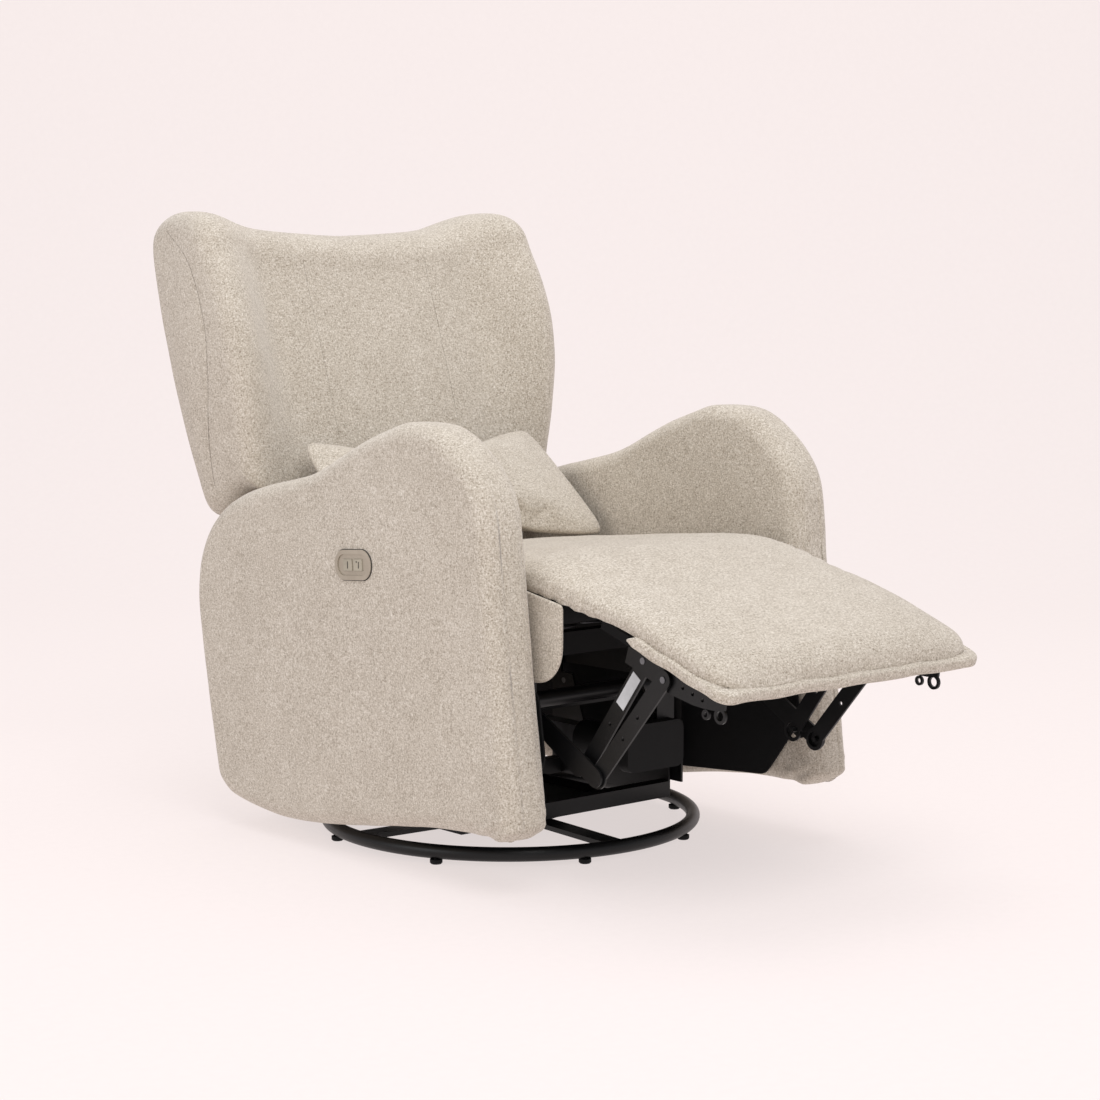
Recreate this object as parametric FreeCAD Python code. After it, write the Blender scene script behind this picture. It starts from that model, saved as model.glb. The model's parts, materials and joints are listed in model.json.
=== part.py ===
"""Power glider recliner for a nursery: swivel ring base, glide links, footrest linkage, wing back.

Millimetres. The origin is on the floor under the swivel axis, +Z is up and the chair faces -Y.
The model stands in its resting pose: footrest out, back a little reclined, seat level on its glide.
"""
import FreeCAD, Part
import math
import os
from FreeCAD import Vector

os.makedirs("parts", exist_ok=True)

# ---- driving dimensions -------------------------------------------------------------------------
# floor ring
RING_R = 305.0            # centre line of the ring tube
RING_TUBE_R = 11.5
GLIDE_H = 8.0             # height of the plastic foot glides under the ring
GLIDE_R = 10.0
GLIDE_COUNT = 8
GLIDE_ANGLE = 27.8        # first foot glide, degrees from +X
BAR_ANGLE = 85.6          # first spoke of the cross, degrees from +X
BAR_W = 36.0
BAR_T = 8.0
RING_Z = GLIDE_H + RING_TUBE_R

# swivel bearing
BEARING_R = 95.0
BEARING_T = 8.0
KINGPIN_R = 10.0
RUN_FIT = 0.05            # radial clearance of pins that turn in their holes
BEARING_Z = RING_Z + BAR_T / 2
TRAY_Z = BEARING_Z + 2 * BEARING_T + 1

# glide: four hanging links per chair, an exact parallelogram in side view
GLIDE_PIVOT_Y = 120.0
GLIDE_TOP_Z = 205.0
GLIDE_BOTTOM_Z = 82.0
GLIDE_LINK_W = 28.0
PIN_R = 5.0
OPEN_PIVOT_GAP = 0.4      # extra hole radius where the linkage is left open

# planes of the steel plates, distance from the middle plane, each PLATE_T thick
PLATE_T = 4.0
TUBE = 26.0               # square cross tubes
BASE_PLATE_X = 221.0
RAIL_X = 222.0
LINK_X = 228.0
REAR_LINK_X = 216.0       # inboard of the footrest rail
CRANK_X = 234.0
HANGER_X = 235.0
SIDE_PLATE_X = 241.0
BACK_PLATE_X = 248.0

# footrest: the pad turns about this line, (y, z)
FOOT_HINGE = (-440.0, 440.0)
FOOT_TILT = 17.5          # slope of the pad at rest, degrees below level
KNUCKLE_R = 50.0
CRANK_AXIS = (-310.0, 275.0)
CRANK_SWING = 76.0
RAIL_PIVOT_FRONT = (-620.0, 348.0)
RAIL_PIVOT_REAR = (-571.0, 369.0)
CRANK_PIVOT_FRONT = (-479.0, 185.0)
CRANK_PIVOT_REAR = (-442.0, 196.0)
LINK_W = 28.0
LINK_EYE_R = 18.0
LINK_OPEN_HOLE_R = 12.5
LUG_LENGTH = 60.0
TORQUE_TUBE_R = 12.5

# actuator
ACTUATOR_TOP = 195.0
ACTUATOR_H = 30.0
ACTUATOR_HALF = 16.0
ACTUATOR_REAR_Y = 96.0
GEARBOX_FRONT_Y = -396.0
GEARBOX_REAR_Y = -374.2

# upholstery
PAD_HALF = 262.0
FLANGE_HALF = 271.0
ARM_INNER = 273.0
ARM_OUTER = 369.0
ARM_EDGE_R = 14.0
# side view of an arm (y, z)
ARM_REAR_FOOT = (340.0, 75.0)
ARM_REAR_BULGE = (395.0, 375.0)
ARM_CREST = [(300.0, 540.0), (65.0, 605.0), (-75.0, 665.0), (-150.0, 690.0)]
ARM_SUMMIT = (-220.0, 695.0)
ARM_FRONT_ROUND = [(-285.0, 675.0), (-350.0, 620.0)]
ARM_KNEE = (-390.0, 440.0)
ARM_FRONT_FOOT = (-435.0, 110.0)
ARM_UNDERSIDE = [(-410.0, 90.0), (-150.0, 75.0), (170.0, 37.0), (310.0, 52.0)]
ARM_REAR_BOW = 4.0        # how far the rear edge bends out of straight
SEAT_HALF = 262.0

# back
BACK_HINGE = (232.0, 400.0)
BACK_LOWER_HALF = 258.0
BACK_WING_LOW_HALF = 314.0
BACK_WING_TOP_HALF = 357.0
WING_BOTTOM_Z = 508.0
WING_CLEAR_R = 173.0      # wings stay outside this radius about the back hinge, clear of the arms
WING_TIP_Z = 1021.0
CREST_MID_Z = 985.0
BACK_REAR_AT_WING = 446.0
BACK_REAR_SLOPE = 0.252
WING_FRONT_LOW_Y = 272.0
WING_FRONT_TOP_Y = 312.0

# switch on the outer face of the right arm
SWITCH_Y = -67.0
SWITCH_Z = 473.0
SWITCH_TILT = 5.0
SWITCH_LENGTH = 93.0
SWITCH_HEIGHT = 47.0
SWITCH_BACK_HALF = 34.0
BUTTON_Y = (-13.0, 13.0)
BUTTON_W = 22.0
BUTTON_H = 18.0
BUTTON_GAP = 0.3
SWITCH_RECESS = 1.6

X_AXIS = Vector(1, 0, 0)
Y_AXIS = Vector(0, 1, 0)
Z_AXIS = Vector(0, 0, 1)
ORIGIN = Vector(0, 0, 0)


# ---- helpers ------------------------------------------------------------------------------------
def box(x0, x1, y0, y1, z0, z1):
    return Part.makeBox(x1 - x0, y1 - y0, z1 - z0, Vector(x0, y0, z0))


def pin(y, z, radius, x0, x1):
    """A round bar along X."""
    return Part.makeCylinder(radius, x1 - x0, Vector(x0, y, z), X_AXIS)


def plate(points, x0, x1):
    """A polygon of (y, z) points pulled from x0 to x1."""
    loop = [Vector(x0, y, z) for y, z in points]
    return Part.Face(Part.makePolygon(loop + loop[:1])).extrude(Vector(x1 - x0, 0, 0))


def spline(points, x0, start=None, end=None):
    """Smooth curve through (y, z) points, with its directions at both ends where they are given."""
    curve = Part.BSplineCurve()
    places = [Vector(x0, y, z) for y, z in points]
    if start is None:
        curve.interpolate(places)
    else:
        curve.interpolate(Points=places, InitialTangent=Vector(0, *start), FinalTangent=Vector(0, *end))
    return curve.toShape()


def arc(a, b, c, x0):
    """Arc from a through b to c, all (y, z)."""
    return Part.Arc(*[Vector(x0, y, z) for y, z in (a, b, c)]).toShape()


def line(a, b, x0):
    return Part.makeLine(Vector(x0, *a), Vector(x0, *b))


def link_bar(a, b, width, x0, x1):
    """A flat bar with round ends between two (y, z) points."""
    dy, dz = b[0] - a[0], b[1] - a[1]
    length = math.hypot(dy, dz)
    side_y, side_z = -dz / length * width / 2, dy / length * width / 2
    middle = plate(
        [
            (a[0] + side_y, a[1] + side_z),
            (b[0] + side_y, b[1] + side_z),
            (b[0] - side_y, b[1] - side_z),
            (a[0] - side_y, a[1] - side_z),
        ],
        x0,
        x1,
    )
    ends = [pin(p[0], p[1], width / 2, x0, x1) for p in (a, b)]
    return middle.fuse(ends).removeSplitter()


def drill(shape, centres, radius, x0, x1):
    """Holes along X at (y, z) centres."""
    return shape.cut([pin(y, z, radius, x0 - 1, x1 + 1) for y, z in centres])


def mirrored(shape):
    return shape.mirror(ORIGIN, X_AXIS)


def round_side_edges(shape, x_values, radius):
    """Round the edges that lie in the planes x = x_values."""
    edges = []
    for edge in shape.Edges:
        bounds = edge.BoundBox
        if any(abs(bounds.XMin - x) < 1e-4 and abs(bounds.XMax - x) < 1e-4 for x in x_values):
            edges.append(edge)
    return shape.makeFillet(radius, edges)


def turned(point, centre, degrees):
    """A (y, z) point turned about centre, from +Y towards +Z."""
    angle = math.radians(degrees)
    dy, dz = point[0] - centre[0], point[1] - centre[1]
    return (
        centre[0] + dy * math.cos(angle) - dz * math.sin(angle),
        centre[1] + dy * math.sin(angle) + dz * math.cos(angle),
    )


def foot_point(along, above):
    """(y, z) of a point on the footrest: distance forward from its hinge, height over the hinge plane."""
    slope = math.radians(FOOT_TILT)
    return (
        FOOT_HINGE[0] - along * math.cos(slope) - above * math.sin(slope),
        FOOT_HINGE[1] - along * math.sin(slope) + above * math.cos(slope),
    )


def foot_plate(points, x0, x1):
    return plate([foot_point(along, above) for along, above in points], x0, x1)


def save(name, shape):
    shape.exportStep(f"parts/{name}.step")


def save_pair(name, right_shape):
    """The sitter's right side is at -X."""
    save(f"{name}_right", right_shape)
    save(f"{name}_left", mirrored(right_shape))


def right(shape_at_plus_x):
    """Pieces are drawn on the +X side, and this gives the -X one."""
    return mirrored(shape_at_plus_x)


# ---- floor base ---------------------------------------------------------------------------------
def glide_places():
    step = 360.0 / GLIDE_COUNT
    for i in range(GLIDE_COUNT):
        angle = math.radians(GLIDE_ANGLE + i * step)
        yield Vector(RING_R * math.cos(angle), RING_R * math.sin(angle), 0)


def foot_glides():
    """Eight plastic feet with stems that push into the ring."""
    stem_r = 4.0
    stem_h = 6.0
    glides = []
    for place in glide_places():
        pad = Part.makeCone(GLIDE_R - 2, GLIDE_R, 2, place)
        body = Part.makeCylinder(GLIDE_R, GLIDE_H - 2.5, place + Vector(0, 0, 2))
        stem = Part.makeCylinder(stem_r, stem_h + 1, place + Vector(0, 0, GLIDE_H - 1))
        glides.append(pad.fuse([body, stem]).removeSplitter())
    return Part.makeCompound(glides)


def base_ring():
    """Round tube on the floor, bored for the stems of the foot glides."""
    ring = Part.makeTorus(RING_R, RING_TUBE_R, Vector(0, 0, RING_Z))
    bore_r = 4.2
    bores = []
    for place in glide_places():
        bores.append(Part.makeCylinder(bore_r, RING_TUBE_R, place + Vector(0, 0, GLIDE_H - 1)))
    return ring.cut(bores)


def base_cross():
    """Two flat bars across the ring, one piece where they are welded, coped to the tube."""
    bars = []
    for angle in (BAR_ANGLE, BAR_ANGLE + 90):
        bar = box(-RING_R, RING_R, -BAR_W / 2, BAR_W / 2, RING_Z - BAR_T / 2, RING_Z + BAR_T / 2)
        bar.rotate(ORIGIN, Z_AXIS, angle)
        bars.append(bar)
    cross = bars[0].fuse(bars[1]).removeSplitter()
    coping = Part.makeTorus(RING_R, RING_TUBE_R + 0.02, Vector(0, 0, RING_Z))
    hub_hole = Part.makeCylinder(KINGPIN_R, 2 * BAR_T, Vector(0, 0, RING_Z - BAR_T))
    pieces = cross.cut([coping, hub_hole]).Solids
    return max(pieces, key=lambda solid: solid.Volume)


def bearing_lower():
    race = Part.makeCylinder(BEARING_R, BEARING_T, Vector(0, 0, BEARING_Z))
    hole = Part.makeCylinder(KINGPIN_R, BEARING_T, Vector(0, 0, BEARING_Z))
    return race.cut(hole)


def bearing_upper():
    bottom = BEARING_Z + BEARING_T + 1
    race = Part.makeCylinder(BEARING_R - 3, BEARING_T, Vector(0, 0, bottom))
    hole = Part.makeCylinder(KINGPIN_R + RUN_FIT, BEARING_T, Vector(0, 0, bottom))
    return race.cut(hole)


def kingpin():
    """Centre bolt of the swivel, welded in the cross, with a retaining head above the tray."""
    head_bottom = TRAY_Z + PLATE_T + 0.5
    shank = Part.makeCylinder(KINGPIN_R, head_bottom - (RING_Z - BAR_T / 2), Vector(0, 0, RING_Z - BAR_T / 2))
    head = Part.makeCylinder(KINGPIN_R + 8, 7, Vector(0, 0, head_bottom))
    return shank.fuse(head).removeSplitter()


# ---- glider base that turns on the bearing ------------------------------------------------------
def glider_tray():
    half_x = 130.0
    half_y = GLIDE_PIVOT_Y + 30 - TUBE - 1
    lip = 18.0
    floor = box(-half_x, half_x, -half_y, half_y, TRAY_Z, TRAY_Z + PLATE_T)
    lips = [
        box(side * half_x - PLATE_T / 2, side * half_x + PLATE_T / 2, -half_y, half_y, TRAY_Z, TRAY_Z + lip)
        for side in (-1, 1)
    ]
    hole = Part.makeCylinder(KINGPIN_R + RUN_FIT, 2 * PLATE_T, Vector(0, 0, TRAY_Z - 1))
    return floor.fuse(lips).cut(hole).removeSplitter()


def glider_cross_tube(side):
    """Square cross tube, front at side -1 and rear at side +1, capped at its ends."""
    outer_y = side * (GLIDE_PIVOT_Y + 30)
    inner_y = outer_y - side * TUBE
    y0, y1 = min(outer_y, inner_y), max(outer_y, inner_y)
    return box(-BASE_PLATE_X, BASE_PLATE_X, y0, y1, TRAY_Z, TRAY_Z + TUBE)


def glider_bracket():
    """Upright side plate that carries the two upper glide pivots of one side."""
    foot = GLIDE_PIVOT_Y + 30
    neck = GLIDE_PIVOT_Y + 16
    waist = 46.0
    points = [
        (-foot, TRAY_Z),
        (foot, TRAY_Z),
        (foot, TRAY_Z + 34),
        (neck, GLIDE_TOP_Z + 14),
        (GLIDE_PIVOT_Y - 22, GLIDE_TOP_Z + 14),
        (waist, TRAY_Z + 44),
        (-waist, TRAY_Z + 44),
        (-GLIDE_PIVOT_Y + 22, GLIDE_TOP_Z + 14),
        (-neck, GLIDE_TOP_Z + 14),
        (-foot, TRAY_Z + 34),
    ]
    x0, x1 = BASE_PLATE_X, BASE_PLATE_X + PLATE_T
    shape = plate(points, x0, x1)
    return drill(shape, [(-GLIDE_PIVOT_Y, GLIDE_TOP_Z), (GLIDE_PIVOT_Y, GLIDE_TOP_Z)], PIN_R, x0, x1)


def glide_pins(z, x0, x1):
    pins = []
    for y in (-GLIDE_PIVOT_Y, GLIDE_PIVOT_Y):
        one = pin(y, z, PIN_R, x0, x1)
        pins += [one, mirrored(one)]
    return Part.makeCompound(pins)


def glide_link(y, lower_hole_r):
    x0, x1 = LINK_X, LINK_X + PLATE_T
    bar = link_bar((y, GLIDE_TOP_Z), (y, GLIDE_BOTTOM_Z), GLIDE_LINK_W, x0, x1)
    bar = drill(bar, [(y, GLIDE_TOP_Z)], PIN_R + RUN_FIT, x0, x1)
    return drill(bar, [(y, GLIDE_BOTTOM_Z)], lower_hole_r, x0, x1)


# ---- seat frame that hangs on the links ---------------------------------------------------------
def seat_hanger():
    """Low rail with two risers that hangs the seat on the lower glide pivots."""
    riser_out = GLIDE_PIVOT_Y + 46
    riser_in = GLIDE_PIVOT_Y + 22
    bottom = GLIDE_BOTTOM_Z - 16
    top = 262.0
    rail_top = GLIDE_BOTTOM_Z + 16
    points = [
        (-riser_out, bottom),
        (riser_out, bottom),
        (riser_out, top),
        (riser_in, top),
        (riser_in, rail_top),
        (-riser_in, rail_top),
        (-riser_in, top),
        (-riser_out, top),
    ]
    x0, x1 = HANGER_X, HANGER_X + PLATE_T
    shape = plate(points, x0, x1)
    return drill(shape, [(-GLIDE_PIVOT_Y, GLIDE_BOTTOM_Z), (GLIDE_PIVOT_Y, GLIDE_BOTTOM_Z)], PIN_R, x0, x1)


def seat_side_plate():
    """Main mechanism plate of one side, from the footrest crank to the back hinge."""
    points = [
        (-352, 262),
        (-334, 240),
        (190, 232),
        (232, 250),
        (252, 330),
        (250, 408),
        (240, 417),
        (222, 417),
        (214, 405),
        (206, 318),
        (-352, 346),
    ]
    x0, x1 = SIDE_PLATE_X, SIDE_PLATE_X + PLATE_T
    shape = plate(points, x0, x1)
    shape = drill(shape, [CRANK_AXIS], TORQUE_TUBE_R + RUN_FIT, x0, x1)
    return drill(shape, [BACK_HINGE], PIN_R + 1, x0, x1)


def seat_cross_tube(y, z):
    """Square tube between the two side plates."""
    return box(-SIDE_PLATE_X, SIDE_PLATE_X, y, y + TUBE, z, z + TUBE)


def seat_rail(half_length, y0, y1, z0, z1):
    """Wooden rail of the seat box that the springs are clipped to."""
    return box(-half_length, half_length, y0, y1, z0, z1)


def seat_springs():
    """Sinuous springs from the front rail to the rear rail."""
    count = 5
    wire_r = 1.8
    half_swing = 22.0
    waves = 11
    front = (-362.0, 390.5)
    back = (222.0, 341.5)
    pitch = 92.0
    springs = []
    for i in range(count):
        x_mid = (i - (count - 1) / 2) * pitch
        points = []
        for k in range(2 * waves + 1):
            share = k / (2 * waves)
            swing = half_swing * (1 if k % 2 else -1)
            y = front[0] + (back[0] - front[0]) * share
            z = front[1] + (back[1] - front[1]) * share
            points.append(Vector(x_mid + swing, y, z))
        curve = Part.BSplineCurve()
        curve.interpolate(points)
        path = Part.Wire(curve.toShape())
        start = Part.Wire(Part.makeCircle(wire_r, points[0], curve.tangent(curve.FirstParameter)[0]))
        springs.append(path.makePipeShell([start], True, False))
    return Part.makeCompound(springs)


def seat_cushion():
    """Seat cushion, hollowed at its front for the footrest pad's knuckle."""
    bottom_front = (-380.0, 395.0)
    bottom_rear = (202.0, 347.0)
    outline = [
        bottom_front,
        bottom_rear,
        (202, 444),
        (-300, 501),
        (-345, 507),
        (-375, 503),
        (-392, 490),
        (-392, 400),
    ]
    shape = plate(outline, -SEAT_HALF, SEAT_HALF)
    return shape.cut(pin(FOOT_HINGE[0], FOOT_HINGE[1], KNUCKLE_R + 2, -SEAT_HALF - 1, SEAT_HALF + 1))


def seat_box_side():
    """Covered board between the seat cushion and the arm, with a round lower front corner."""
    x0 = 264.5
    x1 = 271.0
    corner = pin(-395, 366, 45, x0, x1)
    body = plate([(-440, 366), (-395, 321), (200, 300), (200, 396), (-376, 446), (-440, 446)], x0, x1)
    return body.fuse(corner).removeSplitter()


def arm_outline(x0):
    """Side view of an arm: high rounded front, sloping crest, tucked rear, curved underside."""
    up, forward = (0, 1), (-1, 0)
    down = Vector(0, ARM_FRONT_FOOT[0] - ARM_KNEE[0], ARM_FRONT_FOOT[1] - ARM_KNEE[1]).normalize()
    bow = (
        (ARM_REAR_FOOT[0] + ARM_REAR_BULGE[0]) / 2 + ARM_REAR_BOW,
        (ARM_REAR_FOOT[1] + ARM_REAR_BULGE[1]) / 2,
    )
    edges = [
        arc(ARM_REAR_FOOT, bow, ARM_REAR_BULGE, x0),
        spline([ARM_REAR_BULGE, *ARM_CREST, ARM_SUMMIT], x0, up, forward),
        spline([ARM_SUMMIT, *ARM_FRONT_ROUND, ARM_KNEE], x0, forward, (down.y, down.z)),
        line(ARM_KNEE, ARM_FRONT_FOOT, x0),
        line(ARM_FRONT_FOOT, ARM_UNDERSIDE[0], x0),
        spline(ARM_UNDERSIDE, x0),
        line(ARM_UNDERSIDE[-1], ARM_REAR_FOOT, x0),
    ]
    return Part.Face(Part.Wire(edges))


def arm_board_solid(grow):
    """Inner board of an arm frame. grow widens it for the pocket in the padding."""
    front = [(-392, 120), (-370, 480), (-300, 620), (-180, 655)]
    rear = [(60, 565), (340, 470), (330, 110), (100, 75)]
    points = front + rear
    middle_y = sum(p[0] for p in points) / len(points)
    middle_z = sum(p[1] for p in points) / len(points)
    grown = []
    for y, z in points:
        reach = math.hypot(y - middle_y, z - middle_z)
        scale = (reach + 2 * grow) / reach
        grown.append((middle_y + (y - middle_y) * scale, middle_z + (z - middle_z) * scale))
    thickness = 18.0
    return plate(grown, ARM_INNER + 6 - grow, ARM_INNER + 6 + thickness + grow)


def switch_pocket():
    """Space in the right arm for the back of the switch."""
    depth = 26.0
    return placed_switch(box(-1, depth, -SWITCH_BACK_HALF - 2, SWITCH_BACK_HALF + 2, -15, 15))


def arm_padding():
    """Padded arm of the left side, round at its edges, with a pocket for its board."""
    body = arm_outline(ARM_INNER).extrude(Vector(ARM_OUTER - ARM_INNER, 0, 0))
    body = round_side_edges(body, (ARM_INNER, ARM_OUTER), ARM_EDGE_R)
    return body.cut(arm_board_solid(0.5))


def arm_lining():
    """Black dust cloth board inside the arm, below the seat."""
    points = [(-330, 100), (-408, 200), (-392, 305), (330, 286), (310, 92), (100, 62), (-100, 82)]
    return plate(points, 269.0, 272.6)


def rear_panel():
    """Covered panel between the arms at the back of the chair."""
    return plate([(318, 62), (336, 58), (378, 296), (360, 298)], -SEAT_HALF, SEAT_HALF)


# ---- footrest -----------------------------------------------------------------------------------
def chaise_pad():
    """Footrest pad with a round knuckle about its hinge line and a flat band round its edge."""
    nose_low, nose_top = (344, 2), (344, 52)
    profile = [(0, 2), nose_low, nose_top, (290, 57), (200, 60), (90, 57), (0, KNUCKLE_R)]
    body = foot_plate(profile, -PAD_HALF, PAD_HALF)
    for corner, radius in ((nose_low, 12), (nose_top, 20)):
        y, z = foot_point(*corner)
        corner_place = Part.Vertex(0, y, z)
        edges = [edge for edge in body.Edges if edge.distToShape(corner_place)[0] < 0.01]
        body = body.makeFillet(radius, edges)
    knuckle = pin(FOOT_HINGE[0], FOOT_HINGE[1], KNUCKLE_R, -PAD_HALF, PAD_HALF)
    trim = foot_plate([(-80, -80), (60, -80), (60, 2), (-80, 2)], -PAD_HALF - 1, PAD_HALF + 1)
    knuckle = knuckle.cut(trim)
    flange = foot_plate([(150, 2), (358, 2), (358, 20), (150, 20)], -FLANGE_HALF, FLANGE_HALF)
    return body.fuse([knuckle, flange]).removeSplitter()


def footrest_board():
    """Board under the pad, short of the pad's edges."""
    return foot_plate([(62, -13), (322, -13), (322, 1.5), (62, 1.5)], -240, 240)


def footrest_rail():
    """Steel rail of one side under the board, with a large and a small eye below its front end."""
    x0, x1 = RAIL_X, RAIL_X + PLATE_T
    outline = [
        (112, -13.5),
        (320, -13.5),
        (322, -26),
        (304, -34),
        (284, -40),
        (262, -45),
        (215, -50),
        (112, -46),
    ]
    large_eye, small_eye = foot_point(316, -37), foot_point(289, -47)
    shape = foot_plate(outline, x0, x1)
    eyes = [pin(*large_eye, 11.5, x0, x1), pin(*small_eye, 7.5, x0, x1)]
    shape = shape.fuse(eyes).removeSplitter()
    shape = drill(shape, [large_eye], 7.0, x0, x1)
    shape = drill(shape, [small_eye], 3.8, x0, x1)
    spare_holes = [foot_point(along, -30) for along in (235, 256, 277)]
    shape = drill(shape, spare_holes, 3.2, x0, x1)
    return drill(shape, [RAIL_PIVOT_FRONT, RAIL_PIVOT_REAR], PIN_R, x0, x1)


def footrest_rail_pins():
    """The front link runs outside the rail and the rear link runs inside it."""
    front = pin(RAIL_PIVOT_FRONT[0], RAIL_PIVOT_FRONT[1], PIN_R, RAIL_X - 1, LINK_X + PLATE_T + 1.2)
    rear = pin(RAIL_PIVOT_REAR[0], RAIL_PIVOT_REAR[1], PIN_R, REAR_LINK_X - 1.2, RAIL_X + PLATE_T + 1)
    return Part.makeCompound([front, rear, mirrored(front), mirrored(rear)])


def footrest_cross_bar():
    """Flat bar that ties the two rails together under the board."""
    return foot_plate([(288, -17), (312, -17), (312, -13.5), (288, -13.5)], -RAIL_X, RAIL_X)


def footrest_link(upper, lower, x0):
    """Flat steel link: runs on the rail pin, with an open eye round the crank pin."""
    x1 = x0 + PLATE_T
    bar = link_bar(upper, lower, LINK_W, x0, x1)
    bar = bar.fuse(pin(lower[0], lower[1], LINK_EYE_R, x0, x1)).removeSplitter()
    bar = drill(bar, [upper], PIN_R + RUN_FIT, x0, x1)
    bar = drill(bar, [lower], LINK_OPEN_HOLE_R, x0, x1)
    middle = [((upper[0] * a + lower[0] * (1 - a)), (upper[1] * a + lower[1] * (1 - a))) for a in (0.4, 0.62)]
    return drill(bar, middle, 3.2, x0, x1)


def footrest_crank():
    """Torque tube with a crank plate welded on each end and the drive lug in the middle."""
    x0, x1 = CRANK_X, CRANK_X + PLATE_T
    tube_end = SIDE_PLATE_X + PLATE_T + 2
    tube = pin(CRANK_AXIS[0], CRANK_AXIS[1], TORQUE_TUBE_R, -tube_end, tube_end)
    arms = []
    for centre, link_x in ((CRANK_PIVOT_FRONT, LINK_X), (CRANK_PIVOT_REAR, REAR_LINK_X)):
        arms.append(link_bar(CRANK_AXIS, centre, 30, x0, x1))
        arms.append(pin(centre[0], centre[1], 4, link_x - 1, x1))
    arms += [mirrored(arm) for arm in arms]
    lug_tip = turned((CRANK_AXIS[0], CRANK_AXIS[1] - LUG_LENGTH), CRANK_AXIS, -CRANK_SWING / 2)
    lug = link_bar(CRANK_AXIS, lug_tip, 22, -3, 3)
    lug_pin = pin(lug_tip[0], lug_tip[1], 5, -16, 16)
    return tube.fuse(arms + [lug, lug_pin]).removeSplitter()


# ---- actuator -----------------------------------------------------------------------------------
def carriage_y():
    return CRANK_AXIS[0] - LUG_LENGTH * math.sin(math.radians(CRANK_SWING / 2))


def actuator_rail():
    """Aluminium rail that the carriage runs on."""
    bottom = ACTUATOR_TOP - ACTUATOR_H
    return box(-ACTUATOR_HALF, ACTUATOR_HALF, GEARBOX_REAR_Y + 0.2, ACTUATOR_REAR_Y, bottom, ACTUATOR_TOP)


def actuator_carriage():
    """Slider on the rail with a fork that straddles the pin of the drive lug."""
    middle = carriage_y()
    clear = 4.5
    saddle = box(-20, 20, middle - 22, middle + 22, ACTUATOR_TOP + 0.3, ACTUATOR_TOP + 6)
    cheeks = []
    for x0, x1 in ((-14, -8), (8, 14)):
        cheeks.append(box(x0, x1, middle - 20, middle + 20, ACTUATOR_TOP + 6, ACTUATOR_TOP + 44))
    slot = box(-30, 30, middle - 5 - clear, middle + 5 + clear, ACTUATOR_TOP + 7.5, ACTUATOR_TOP + 50)
    return saddle.fuse(cheeks).cut(slot).removeSplitter()


def actuator_gearbox():
    """Flat moulded gearbox across the front end of the rail."""
    body = box(-95, 22, GEARBOX_FRONT_Y, GEARBOX_REAR_Y, 158, 232)
    upright = [edge for edge in body.Edges if abs(edge.BoundBox.YLength) > 1]
    return body.makeFillet(14, upright)


def actuator_motor():
    """Motor beside the rail, behind the gearbox."""
    return Part.makeCylinder(27, 112, Vector(-64, GEARBOX_REAR_Y + 0.2, ACTUATOR_TOP), Y_AXIS)


def actuator_rear_mount():
    """Bracket that hangs the rail's rear end on the rear cross tube."""
    arm = box(-12, 12, ACTUATOR_REAR_Y + 0.2, 178, ACTUATOR_TOP - 26, ACTUATOR_TOP - 6)
    riser = box(-12, 12, 166, 178, ACTUATOR_TOP - 6, 258)
    return arm.fuse(riser).removeSplitter()


def actuator_front_mount():
    """Strap that hangs the gearbox from the front seat rail."""
    return box(-14, 22, -374, -368.2, ACTUATOR_TOP + 8, 380)


def power_inlet():
    """Low voltage socket of the actuator, at the back of the seat frame."""
    body = box(-150, -110, 150, 176, 236, 258)
    socket = Part.makeCylinder(5.5, 12, Vector(-130, 165, 247), Y_AXIS)
    return body.cut(socket)


# ---- back ---------------------------------------------------------------------------------------
def back_rear_y(z):
    return BACK_REAR_AT_WING + (z - WING_BOTTOM_Z) * BACK_REAR_SLOPE


def back_front_y(z):
    """Front face of the centre panel."""
    return 232 + (z - 425) * 0.322


def back_section(z, half_width, wing_front_y):
    """Plan outline of the upper back at height z: flat middle with wings swept forward."""
    rear = back_rear_y(z)
    front = back_front_y(z)
    inner_half = half_width - 62
    half = [
        (0, rear),
        (half_width - 70, rear),
        (half_width - 22, rear - 26),
        (half_width - 4, rear - 70),
        (half_width, wing_front_y + 40),
        (half_width - 12, wing_front_y + 8),
        (half_width - 34, wing_front_y),
        (inner_half, wing_front_y + 22),
        (inner_half - 26, front - 14),
        (150, front),
        (0, front),
    ]
    points = [Vector(x, y, z) for x, y in half]
    points += [Vector(-x, y, z) for x, y in reversed(half[1:-1])]
    return Part.makePolygon(points + points[:1])


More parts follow.
